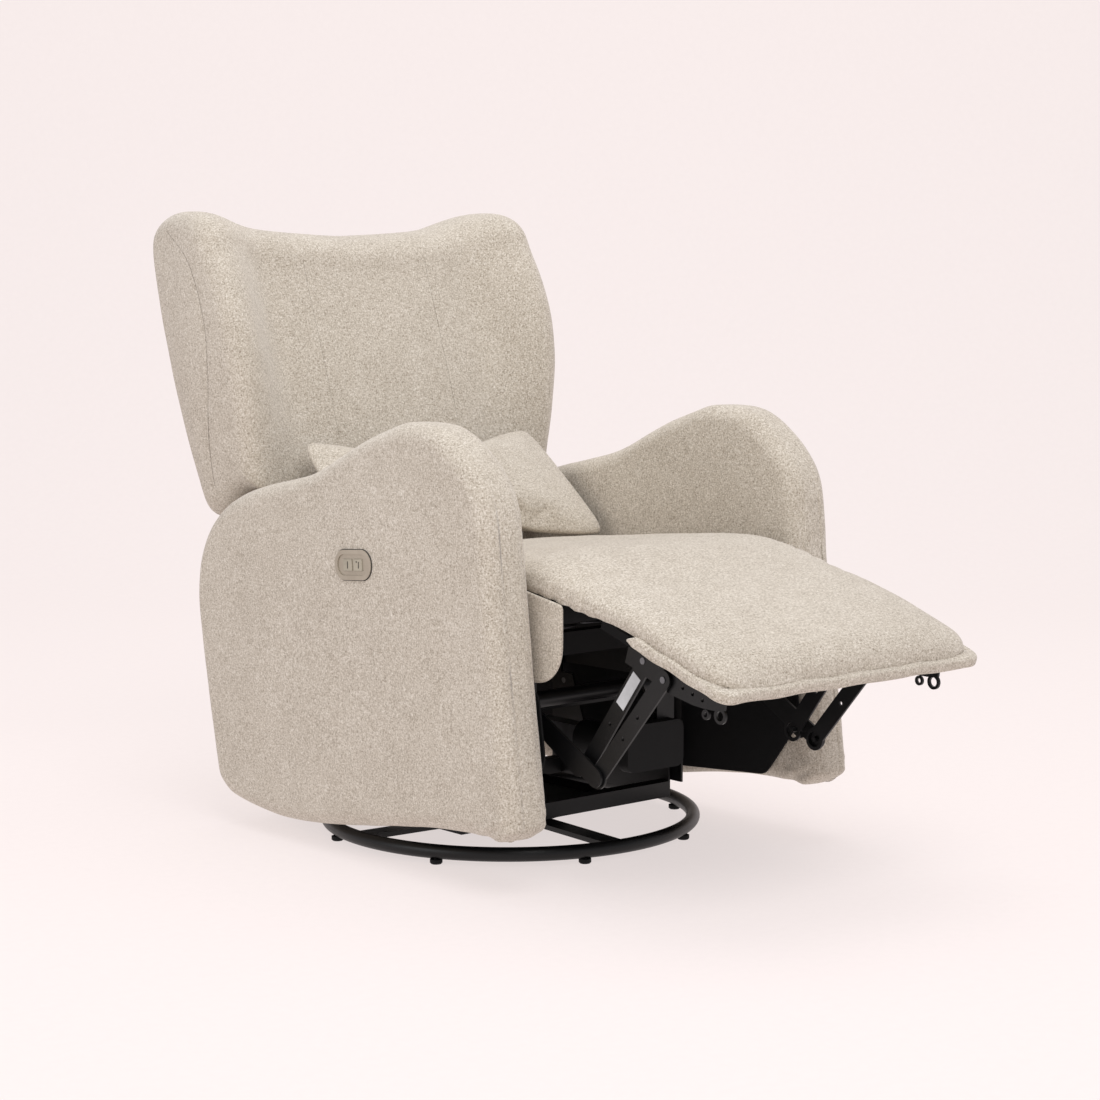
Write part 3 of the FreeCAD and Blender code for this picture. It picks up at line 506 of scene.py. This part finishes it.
def crest_height(x):
    """Height of the back's top edge: a shallow hollow between two raised wing tips."""
    hollow = 0.009 * min(1.0, x / 0.18) ** 1.6
    return CREST_MIDDLE + hollow + (CREST_TIP - CREST_MIDDLE - 0.009) * float(ease(x, 0.170, 0.315))


def wing_half(z):
    """Half width of the back at height z: it widens quickly above the arms, then runs nearly upright."""
    rise = np.clip((np.asarray(z, float) - WING_BOTTOM) / (0.86 - WING_BOTTOM), 0, 1)
    return WING_HALF_LOW + (WING_HALF_HIGH - WING_HALF_LOW) * (1 - (1 - rise) ** 1.7)


def wing_front(z):
    return WING_FRONT_Y + WING_SWEEP * max(0.0, (z - WING_SWEEP_START) / 0.30) ** 2.8


def back_rear(z):
    return 0.446 + (z - 0.508) * 0.252


def back_front(z):
    return 0.232 + (z - 0.425) * 0.322


def back_outline(share):
    """Closed side view outline (y, z) of the back at a share of its half width, counter-clockwise."""
    wing = float(ease(share, 0.64, 1.0))
    step = float(ease(share, 0.915, 0.938))
    crest = crest_height(share * 0.322)
    shoulder = crest - CAP_HEIGHT
    low_front = BACK_BOTTOM + (0.545 - BACK_BOTTOM) * step
    low_rear = BACK_BOTTOM + (WING_BOTTOM - BACK_BOTTOM) * step

    def front_at(z):
        sag = 0.007 * math.sin(math.pi * min(1.0, max(0.0, (z - 0.45) / 0.5)))
        flat = back_front(z) - sag * float(1 - ease(share, 0.3, 0.8))
        return flat - wing * (flat - wing_front(z + (CREST_TIP - crest) * 0.6))

    points = []
    for part in np.linspace(0, 1, 66):
        z = low_front + (shoulder - low_front) * part
        points.append((front_at(z), z))
    front, rear = front_at(shoulder), back_rear(shoulder)
    cap_y, cap_half = (front + rear) / 2, (rear - front) / 2
    for turn in np.linspace(0, math.pi, 33)[1:-1]:
        across = math.copysign(abs(math.cos(turn)) ** 0.88, math.cos(turn))
        points.append((cap_y - cap_half * across, shoulder + CAP_HEIGHT * math.sin(turn) ** 0.88))
    for part in np.linspace(1, 0, 52):
        z = low_rear + (shoulder - low_rear) * part
        points.append((back_rear(z), z))
    start, end = np.array(points[-1]), np.array(points[0])
    hinge = np.array([BACK_HINGE.y, BACK_HINGE.z])
    for part in np.linspace(0, 1, 22)[1:-1]:
        place = start + (end - start) * part
        reach = np.linalg.norm(place - hinge)
        arc = hinge + (place - hinge) * max(1.0, (WING_CLEAR + 0.004) / reach)
        points.append(tuple(place + (arc - place) * step))
    return softened(np.array(points[::-1]), 6)


def make_back():
    spans = ((0, 0.60, 16), (0.63, 0.90, 16), (0.91, 1.0, 12))
    shares = np.concatenate([np.linspace(*span) for span in spans])
    last = back_outline(1.0)
    middle = np.array([0.425, 0.765])
    toward = inward(last, 14)
    half_side = []

    def widen(loop, share, past=0.0):
        flare = 0.010 * ease(loop[:, 0], 0.38, 0.54)
        width = wing_half(loop[:, 1]) - flare - BACK_ROUND_X
        return np.column_stack([width * share + past, loop])

    for share in shares:
        half_side.append(widen(back_outline(share), share))
    for turn in np.linspace(0, math.pi / 2, 12)[1:]:
        inset = 1 - math.cos(turn)
        loop = softened(last + toward * BACK_ROUND * inset, int(34 * inset))
        half_side.append(widen(loop, 1.0, BACK_ROUND_X * math.sin(turn)))
    inner = softened(last + toward * BACK_ROUND, 34)
    for share in np.linspace(0.96, 0.05, 22):
        loop = middle + (inner - middle) * share
        half_side.append(widen(loop, 1.0, BACK_ROUND_X + 0.004 * (1 - share**3)))
    half_side = np.array(half_side)
    mirrored = half_side[:0:-1].copy()
    mirrored[:, :, 0] *= -1
    cover = skin("back_cover", np.concatenate([mirrored, half_side]), FABRIC)
    loosen(cover, ((0.0020, 0.20), (0.0007, 0.06)), 7.7)
    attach(cover, "back")
    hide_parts("back_padding")
    return cover


# ---- seams --------------------------------------------------------------------------------------
def seam(name, path, cover, body, radius=0.0011, dent_depth=0.0016, dent_width=0.006, lift=0.0):
    """A sewn seam laid on a cover: the cloth dips along it, with a thin dark line in the dip. The seam line is
    real; its darker colour is painted shade of the crease.
    """
    from mathutils.bvhtree import BVHTree
    from mathutils.kdtree import KDTree

    path = catmull(path, max(24, int(len(path) * 14)))
    mesh = cover.data
    tree = BVHTree.FromPolygons([v.co for v in mesh.vertices], [tuple(p.vertices) for p in mesh.polygons])
    line = [tree.find_nearest(Vector(p)) for p in path]
    near = KDTree(len(line))
    for index, hit in enumerate(line):
        near.insert(hit[0], index)
    near.balance()

    def depth(place):
        away = near.find(place)[2]
        return dent_depth * math.exp(-((away / dent_width) ** 2)) if away < 4 * dent_width else 0.0

    dent(cover, depth)
    tree = BVHTree.FromPolygons([v.co for v in mesh.vertices], [tuple(p.vertices) for p in mesh.polygons])
    rings = []
    spots = [tree.find_nearest(hit[0]) for hit in line]
    places = np.array([spot[0] for spot in spots])
    places[1:-1] = (places[:-2] + 2 * places[1:-1] + places[2:]) / 4
    for index, place in enumerate(places):
        along = Vector(places[min(index + 1, len(places) - 1)] - places[max(index - 1, 0)]).normalized()
        normal = spots[index][1]
        side = along.cross(normal).normalized()
        ring = []
        for turn in np.linspace(0, 2 * math.pi, 7)[:-1]:
            rise = radius * 0.7 * math.sin(turn) + lift
            ring.append(Vector(place) + side * radius * math.cos(turn) + normal * rise)
        rings.append(ring)
    # The line's darker tweed is painted shade in the seam's crease.
    line_piece = skin(name, np.array(rings), SEAM_CREASE_SHADE)
    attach(line_piece, body)
    return line_piece


# ---- seat and footrest cover --------------------------------------------------------------------
ALONG = Vector((0, -math.cos(math.radians(17.5)), -math.sin(math.radians(17.5))))
ABOVE = Vector((0, -math.sin(math.radians(17.5)), math.cos(math.radians(17.5))))


def on_footrest(x, along, above):
    """A place on the raised footrest: along the pad from its hinge, and above the hinge line."""
    return Vector((x, FOOT_HINGE.y, FOOT_HINGE.z)) + ALONG * along + ABOVE * above


PAD_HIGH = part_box("chaise_pad")[1]
SEAT_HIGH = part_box("seat_cushion")[1]
COVER_HALF = SEAT_HIGH.x + 0.002


def pad_yz(along, above):
    place = on_footrest(0, along, above)
    return (place.y, place.z)


TOP_LINE = [
    (0.222, 0.449), (0.150, 0.459), (0.050, 0.472), (-0.050, 0.482), (-0.150, 0.492), (-0.240, 0.500),
    (-0.310, 0.506), (-0.360, 0.509), (-0.405, 0.506), (-0.445, 0.499),
    pad_yz(0.055, 0.0585), pad_yz(0.110, 0.0615), pad_yz(0.170, 0.0630), pad_yz(0.230, 0.0625),
    pad_yz(0.280, 0.0600), pad_yz(0.315, 0.0560), pad_yz(0.3485, 0.0480),
]
CREASE_FRONT = pad_yz(0.136, 0.018)      # the crease runs straight down to the edge band
CREASE_REAR = (-0.350, 0.455)
UNDER_LINE = [
    (0.222, 0.392), (-0.150, 0.438), (-0.300, 0.455), CREASE_REAR,
    tuple((np.array(CREASE_REAR) + np.array(CREASE_FRONT)) / 2), CREASE_FRONT,
    pad_yz(0.240, 0.018), pad_yz(0.3485, 0.018),
]


def make_cover():
    count = 130
    top = catmull(TOP_LINE, count)
    under = catmull(UNDER_LINE, count)
    corner = 0.055
    rings = []
    length = np.concatenate([[0], np.cumsum(np.linalg.norm(np.diff(top, axis=0), axis=1))])
    left = length[-1] - length
    across = 72
    for index in range(count):
        front = max(0.0, 1 - left[index] / corner)
        rear = max(0.0, 1 - length[index] / 0.035)
        shrink = math.sqrt(max(0.0, 1 - front**2.2))
        tail = math.sqrt(max(0.0, 1 - rear**2))
        half = COVER_HALF - corner * 0.9 * (1 - shrink) - 0.006 * (1 - tail)
        high, low = top[index], under[index]
        rise = high - low
        flat = float(ease(-high[0], 0.36, 0.50))
        ring = []
        for k in range(across + 1):
            turn = math.pi * k / across
            x = math.copysign(abs(math.cos(turn)) ** 0.42, math.cos(turn))
            up = math.sin(turn) ** (0.50 - 0.06 * flat)
            crown = 1 - (0.10 + 0.10 * flat) * x * x
            share = up * crown * (0.16 + 0.84 * shrink) * (0.4 + 0.6 * tail)
            ring.append((half * x, low[0] + rise[0] * share, low[1] + rise[1] * share))
        for k in range(1, 24):
            x = -1 + 2 * k / 24
            sag = -0.003 * (1 - abs(x) ** 6)
            ring.append((half * 0.995 * x, low[0], low[1] + sag))
        rings.append(ring)
    cover = skin("seat_and_footrest_cover", np.array(rings), FABRIC)
    loosen(cover, ((0.0028, 0.19), (0.0009, 0.06)), 11.3)

    def soft_folds(place):
        edge = float(ease(abs(place.x), 0.20, 0.262))
        near_bend = math.exp(-(((place.y + 0.45) / 0.07) ** 2))
        return 0.0016 * edge * near_bend * math.sin(place.y * 190 + 3 * place.x)

    dent(cover, soft_folds)
    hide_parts("seat_cushion", "chaise_pad")
    return cover


def make_seat_base():
    """Lower part of the seat cushion, under the cover and between the box sides."""
    outline = np.array([
        (0.205, 0.352), (0.205, 0.398), (-0.10, 0.430), (-0.30, 0.450), (-0.372, 0.452),
        (-0.386, 0.440), (-0.386, 0.404), (-0.372, 0.397), (0.0, 0.366),
    ])
    loop = softened(spaced(outline, 160), 3)
    middle = np.array([-0.09, 0.405])
    rings = slab_rings(loop, middle, 1, 0.0, SEAT_HIGH.x - 0.002, 0.012, 0.012, 0.0, fill=8, passes=4)
    base = skin("seat_base", rings, CLOTH_BLACK)
    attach(base, "seat")
    return base


FLANGE_START, FLANGE_END = 0.150, 0.358
FLANGE_HALF = PAD_HIGH.x
FLANGE_LOW, FLANGE_HIGH = 0.002, 0.020


def make_flange():
    """Flat padded band round the sides and front of the footrest pad, with a rounded section."""
    radius = 0.018
    half, front = FLANGE_HALF - 0.011, FLANGE_END - 0.011
    plan = []
    for along in np.linspace(FLANGE_START, front - radius, 34):
        plan.append((-half, along))
    for turn in np.linspace(0, math.pi / 2, 10)[1:]:
        plan.append((-half + radius * (1 - math.cos(turn)), front - radius + radius * math.sin(turn)))
    mirror = [(-x, along) for x, along in reversed(plan)]
    middle = [(x, front) for x in np.linspace(-half + radius, half - radius, 60)[1:-1]]
    plan = np.array(plan + middle + mirror)
    height = (FLANGE_HIGH - FLANGE_LOW) / 2
    level = (FLANGE_HIGH + FLANGE_LOW) / 2
    rings = []
    for index, (x, along) in enumerate(plan):
        ahead = plan[min(index + 1, len(plan) - 1)] - plan[max(index - 1, 0)]
        ahead = ahead / np.linalg.norm(ahead)
        out = np.array([-ahead[1], ahead[0]])
        corner = math.exp(-(((abs(x) - half) / 0.02) ** 2) - (((along - front) / 0.02) ** 2))
        end = min(1.0, 0.25 + min(index, len(plan) - 1 - index) / 3)
        ring = []
        for turn in np.linspace(0, 2 * math.pi, 21)[:-1]:
            side = math.copysign(abs(math.cos(turn)) ** 0.5, math.cos(turn)) * (0.012 + 0.002 * corner)
            up = math.copysign(abs(math.sin(turn)) ** 0.5, math.sin(turn)) * height * end
            wave = 0.0008 * math.sin(index * 0.45) + 0.0012 * ripple((x, along, 0), 0.05, 5.0)
            place = np.array([x, along]) + out * (side + (0.012 if side < 0 else 0.0) * -1)
            ring.append(on_footrest(place[0], place[1], level + up + wave))
        rings.append(ring)
    flange = skin("footrest_edge_band", np.array(rings), FABRIC)
    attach(flange, "footrest")
    line = []
    for x, along in plan[::2]:
        scale = (half - 0.011) / half
        line.append(on_footrest(x * scale, min(along, front - 0.010), FLANGE_HIGH + 0.0002))
    rings = []
    for index, place in enumerate(line):
        along = (line[min(index + 1, len(line) - 1)] - line[max(index - 1, 0)]).normalized()
        side = along.cross(ABOVE).normalized()
        ring = []
        for turn in np.linspace(0, 2 * math.pi, 9)[:-1]:
            ring.append(place + side * 0.0016 * math.cos(turn) + ABOVE * 0.0013 * math.sin(turn))
        rings.append(ring)
    # A thin line along the band's seam in the darker tweed: the seam is real, its dark colour is painted shade of
    # the crease.
    crease = skin("footrest_band_seam", np.array(rings), SEAM_CREASE_SHADE)
    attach(crease, "footrest")
    return flange


# ---- flat covered pieces ------------------------------------------------------------------------
BOX_FRONT_Y, BOX_REAR_Y = -0.442, 0.196
BOX_CORNER = 0.058        # round of the lower front corner
BOX_BOTTOM_FRONT_Z, BOX_BOTTOM_REAR_Z = 0.318, 0.301


def box_side_outline():
    """Side view of a seat box side: straight front, round lower corner, top tucked behind the cover."""
    loop = [(BOX_FRONT_Y, 0.440)]
    for turn in np.linspace(0, math.pi / 2, 12):
        y = BOX_FRONT_Y + BOX_CORNER * (1 - math.cos(turn))
        loop.append((y, BOX_BOTTOM_FRONT_Z + BOX_CORNER * (1 - math.sin(turn))))
    loop += [(BOX_REAR_Y, BOX_BOTTOM_REAR_Z), (BOX_REAR_Y, 0.392), (-0.300, 0.453), CREASE_REAR]
    return np.array(loop)


def make_panel(node, body, material, edge, seed=1.0, fill=10, outline=None):
    """Covered board in the side view: softened edges, faintly uneven faces."""
    low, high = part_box(node)
    if outline is None:
        loop, middle = side_outline(node, low.x, 220)
    else:
        loop = spaced(outline, 260)
        middle = (loop.min(0) + loop.max(0)) / 2
    centre_x, half = (low.x + high.x) / 2, (high.x - low.x) / 2
    edge_x = min(edge, half * 0.9)
    rings = slab_rings(softened(loop, 2), middle, 1, centre_x, half, edge, edge_x, 0.0, fill=fill, passes=4)
    panel = skin(f"{node}_cover", rings, material)
    loosen(panel, ((0.0004, 0.12),), seed)
    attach(panel, body)
    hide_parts(node)
    return panel


# ---- pillow -------------------------------------------------------------------------------------
PILLOW_WIDTH, PILLOW_LENGTH = 0.545, 0.300
PILLOW_THICK = 0.100
PILLOW_SLOPE = math.radians(39)


def pillow_grid():
    """Two flat sheets sewn at the edge, slightly apart: the pillow before it is stuffed."""
    across, down = 62, 36
    points, faces = [], []
    index = {}
    for layer in (1, -1):
        for i in range(across + 1):
            for j in range(down + 1):
                edge = i in (0, across) or j in (0, down)
                key = (0 if edge else layer, i, j)
                if key in index:
                    continue
                index[key] = len(points)
                u, v = 2 * i / across - 1, 2 * j / down - 1
                pull = 1 + 0.010 * (1 - v * v) * abs(u) ** 3
                tuck = 1 + 0.035 * (1 - u * u) * abs(v) ** 3
                round_off = 1 - 0.055 * abs(u * v) ** 7
                x = u * PILLOW_WIDTH / 2 * pull * round_off
                y = v * PILLOW_LENGTH / 2 * tuck * round_off
                points.append((x, y, 0 if edge else layer * 0.012))
    for layer in (1, -1):
        for i in range(across):
            for j in range(down):
                corners = []
                for di, dj in ((0, 0), (1, 0), (1, 1), (0, 1)):
                    a, b = i + di, j + dj
                    edge = a in (0, across) or b in (0, down)
                    corners.append(index[(0 if edge else layer, a, b)])
                faces.append(corners if layer > 0 else corners[::-1])
    return points, faces


def make_pillow():
    points, faces = pillow_grid()
    pillow = mesh_object("lumbar_pillow_cover", points, faces, FABRIC)
    cloth = pillow.modifiers.new("stuffing", "CLOTH")
    cloth.settings.use_pressure = True
    cloth.settings.uniform_pressure_force = 3.5
    cloth.settings.tension_stiffness = 25
    cloth.settings.compression_stiffness = 25
    cloth.settings.shear_stiffness = 8
    cloth.settings.bending_stiffness = 1.2
    cloth.settings.mass = 0.4
    cloth.settings.quality = 6
    cloth.settings.effector_weights.gravity = 0
    cloth.point_cache.frame_start = 1
    cloth.point_cache.frame_end = 26
    for step in range(1, 27):
        bpy.context.scene.frame_set(step)
    graph = bpy.context.evaluated_depsgraph_get()
    made = np.zeros(len(pillow.data.vertices) * 3, np.float32)
    pillow.evaluated_get(graph).data.vertices.foreach_get("co", made)
    pillow.modifiers.remove(cloth)
    bpy.context.scene.frame_set(1)
    pillow.data.vertices.foreach_set("co", made)
    made = np.array([v.co for v in pillow.data.vertices])
    low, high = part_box("lumbar_pillow")
    half = (high.x - low.x) / 2 + 0.004
    made -= (made.max(0) + made.min(0)) / 2
    made[:, 0] *= half / np.abs(made[:, 0]).max()
    made[:, 1] *= 0.131 / np.abs(made[:, 1]).max()
    made[:, 2] *= PILLOW_THICK / 2 / np.abs(made[:, 2]).max()
    centre = Vector((0, 0.052 + 0.126 * math.cos(PILLOW_SLOPE), 0.470 + 0.126 * math.sin(PILLOW_SLOPE)))
    up = Vector((0, math.cos(PILLOW_SLOPE), math.sin(PILLOW_SLOPE)))
    out = Vector((0, -math.sin(PILLOW_SLOPE), math.cos(PILLOW_SLOPE)))
    for vertex, place in zip(pillow.data.vertices, made):
        vertex.co = centre + Vector((place[0], 0, 0)) + up * place[1] + out * (place[2] + 0.004)
    pillow.data.update()
    smooth = pillow.modifiers.new("finer", "SUBSURF")
    smooth.levels = smooth.render_levels = 1
    graph = bpy.context.evaluated_depsgraph_get()
    finer = bpy.data.meshes.new_from_object(pillow.evaluated_get(graph))
    pillow.modifiers.clear()
    pillow.data = finer
    pillow.data.polygons.foreach_set("use_smooth", [True] * len(finer.polygons))
    keep_rest(pillow)
    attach(pillow, "pillow")
    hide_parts("lumbar_pillow")
    return pillow


# ---- small visual pieces ------------------------------------------------------------------------
def thin_plate(name, centre, along, across, normal, material):
    """Flat four-cornered piece, 0.3 mm thick, from its half edges."""
    points = []
    for lift in (-0.00015, 0.00015):
        for a, b in ((-1, -1), (1, -1), (1, 1), (-1, 1)):
            points.append(centre + along * a + across * b + normal * lift)
    faces = [(3, 2, 1, 0), (4, 5, 6, 7)] + [(k, (k + 1) % 4, 4 + (k + 1) % 4, 4 + k) for k in range(4)]
    return mesh_object(name, points, faces, material, smooth=False)


def make_link_label():
    """Plain blank label on the outer face of the right rear footrest link."""
    node = frame["nodes"]["footrest_link_rear_right"]
    places = np.array([v.co for v in node.data.vertices])
    middle = places[:, 1:].mean(0)
    along = np.linalg.svd(places[:, 1:] - middle)[2][0]
    along *= math.copysign(1, along[1])
    reach = (places[:, 1:] - middle) @ along
    centre = middle + along * reach.max() * 0.42
    place = Vector((places[:, 0].min() - 0.0003, *centre))
    half_long, half_wide = Vector((0, *along)) * 0.031, Vector((0, -along[1], along[0])) * 0.0095
    label = thin_plate("footrest_link_label", place, half_long, half_wide, Vector((-1, 0, 0)), LABEL)
    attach(label, "link_rear_right")


def make_button_marks():
    """Generic marks on the two switch buttons: a dot and a bar on one, a bar on the other."""
    marks = (
        ("button_footrest", "dot", 0.0030, 0.0045, 0.0012, 0.0012),
        ("button_footrest", "bar", -0.0025, 0.0, 0.0009, 0.0050),
        ("button_back", "bar", 0.0, 0.0, 0.0009, 0.0055),
    )
    for node, kind, ahead, up, half_y, half_z in marks:
        low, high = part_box(node)
        place = Vector((low.x - 0.0002, (low.y + high.y) / 2 + ahead, (low.z + high.z) / 2 + up))
        name = f"{node}_{kind}"
        along, across = Vector((0, half_y, 0)), Vector((0, 0, half_z))
        mark = thin_plate(name, place, along, across, Vector((-1, 0, 0)), DARK_ICON_AND_SHADOW)
        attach(mark, node)


def make_switch_shadow():
    """Painted shadow: a thin dark ring where the cloth meets the rim of the switch."""
    low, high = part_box("switch_bezel")
    middle_y, middle_z = (low.y + high.y) / 2, (low.z + high.z) / 2
    half_long, half_high, tilt, ring_radius = 0.0470, 0.0240, math.radians(5), 0.0010
    straight = half_long - half_high
    rings = []
    for turn in np.linspace(0, 2 * math.pi, 73):
        y = math.cos(turn) * half_high + math.copysign(straight, math.cos(turn))
        z = math.sin(turn) * half_high
        centre = np.array([middle_y, middle_z]) + (
            y * math.cos(tilt) + z * math.sin(tilt),
            z * math.cos(tilt) - y * math.sin(tilt),
        )
        out = centre - np.array([middle_y, middle_z])
        out /= np.linalg.norm(out)
        ring = []
        for around in np.linspace(0, 2 * math.pi, 7)[:-1]:
            place = centre + out * ring_radius * math.cos(around)
            ring.append((low.x + 0.0022 + ring_radius * math.sin(around), *place))
        rings.append(ring)
    # The ring's dark colour is painted shadow round the switch rim.
    shadow_ring = skin("switch_painted_shadow", np.array(rings), DARK_ICON_AND_SHADOW)
    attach(shadow_ring, "seat")


# ---- CAD nodes keep their shape and take finished materials -------------------------------------
for part in frame["record"]["subparts"]:
    node = frame["nodes"][part["node"]]
    node.data.materials.clear()
    node.data.materials.append(SLOT_LOOKS[part["material_slot"]])
    keep_rest(node)
# The wooden footrest board and both seat rails take the black cloth material, so they come out black.
for node in ("footrest_board", "seat_rail_front", "seat_rail_rear"):
    frame["nodes"][node].data.materials[0] = CLOTH_BLACK

for side in ("left", "right"):
    make_arm(side)
back_cover = make_back()
cover = make_cover()
make_seat_base()
make_flange()
for side in ("left", "right"):
    box_side = box_side_outline()
    make_panel(f"seat_box_side_{side}", "seat", FABRIC, 0.0028, seed=2.0, outline=box_side)
    make_panel(f"arm_lining_{side}", "seat", CLOTH_BLACK, 0.0012, seed=4.0)
make_panel("rear_panel", "seat", FABRIC, 0.007, seed=6.0)
make_pillow()
make_link_label()
make_button_marks()
make_switch_shadow()

def sew_back(cover):
    """Seams of the back: one on the face of each side panel and two down the centre panel."""
    for sign, side in ((-1, "right"), (1, "left")):
        heights = np.linspace(0.985, 0.560, 12)
        path = []
        for z in heights:
            inset = 0.070 + 0.045 * float(1 - ease(z, 0.56, 0.86)) + 0.045 * float(ease(z, 0.93, 1.0))
            path.append((sign * (float(wing_half(z)) + 0.004), wing_front(z) + inset, z))
        seam(f"wing_seam_{side}", path, cover, "back", radius=0.0006, dent_depth=0.0016, dent_width=0.006)
        path = [(sign * 0.132, back_front(z) - 0.02, z) for z in np.linspace(0.945, 0.640, 6)]
        seam(f"back_seam_{side}", path, cover, "back", radius=0.0003, dent_depth=0.0007)


sew_back(back_cover)

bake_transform(cover)

# ---- stage --------------------------------------------------------------------------------------
def studio():
    world = bpy.data.worlds.new("studio")
    world.use_nodes = True
    background = world.node_tree.nodes["Background"]
    background.inputs["Color"].default_value = srgb(243, 242, 246)
    background.inputs["Strength"].default_value = 0.62
    bpy.context.scene.world = world
    n = Nodes("floor_paper")
    place = n.object_place()
    speck = n.noise(place, 60.0, 3.0, 0.6)
    stops = [(0.3, srgb(140, 134, 133)), (0.7, srgb(143, 137, 136))]
    n.link(n.ramp(speck, stops), n.shader.inputs["Base Color"])
    n.value("Roughness", 0.95)
    n.value("Specular IOR Level", 0.0)
    n.value("Emission Color", srgb(250, 240, 238))
    n.value("Emission Strength", 0.72)
    profile = [(-9.0, 0.0)]
    profile += [(2.6 + 1.6 * math.sin(t), 1.6 - 1.6 * math.cos(t)) for t in np.linspace(0, math.pi / 2, 16)]
    profile += [(4.2, 7.0)]
    points, faces = [], []
    turn = Vector((-0.6464, -0.7539, 0)).normalized()
    across = Vector((-turn.y, turn.x, 0))
    for out, up in profile:
        for side in (-9.0, 9.0):
            points.append(-turn * out + across * side + Vector((0, 0, up)))
    for i in range(len(profile) - 1):
        faces.append((2 * i, 2 * i + 1, 2 * i + 3, 2 * i + 2))
    floor = mesh_object("studio_floor", points, faces, n.material)

    def area(name, place, target, size, power, colour=(1, 1, 1)):
        data = bpy.data.lights.new(name, "AREA")
        data.shape = "RECTANGLE"
        data.size, data.size_y = size
        data.energy = power
        data.color = colour
        light = bpy.data.objects.new(name, data)
        bpy.context.scene.collection.objects.link(light)
        light.location = place
        light.rotation_mode = "QUATERNION"
        light.rotation_quaternion = (Vector(target) - Vector(place)).to_track_quat("-Z", "Y")

    area("key", (-1.2, -2.7, 3.4), (0, -0.1, 0.5), (2.6, 2.0), 78)
    area("top", (0.6, 0.4, 3.8), (0, 0, 0.4), (3.0, 3.0), 52)
    area("fill", (-4.0, 0.2, 1.6), (0, 0, 0.5), (2.4, 2.0), 29)


def camera():
    data = bpy.data.cameras.new("camera")
    data.sensor_width = 36.0
    data.lens = 86.8
    data.clip_start, data.clip_end = 0.05, 60.0
    eye = bpy.data.objects.new("camera", data)
    bpy.context.scene.collection.objects.link(eye)
    eye.location = (-2.785, -3.354, 0.973)
    eye.rotation_mode = "QUATERNION"
    back = Vector((-0.6459, -0.7543, 0.1164)).normalized()
    eye.rotation_quaternion = (-back).to_track_quat("-Z", "Y")
    bpy.context.scene.camera = eye


studio()
camera()
bpy.context.scene.view_settings.view_transform = "Standard"
bpy.context.scene.view_settings.look = "None"
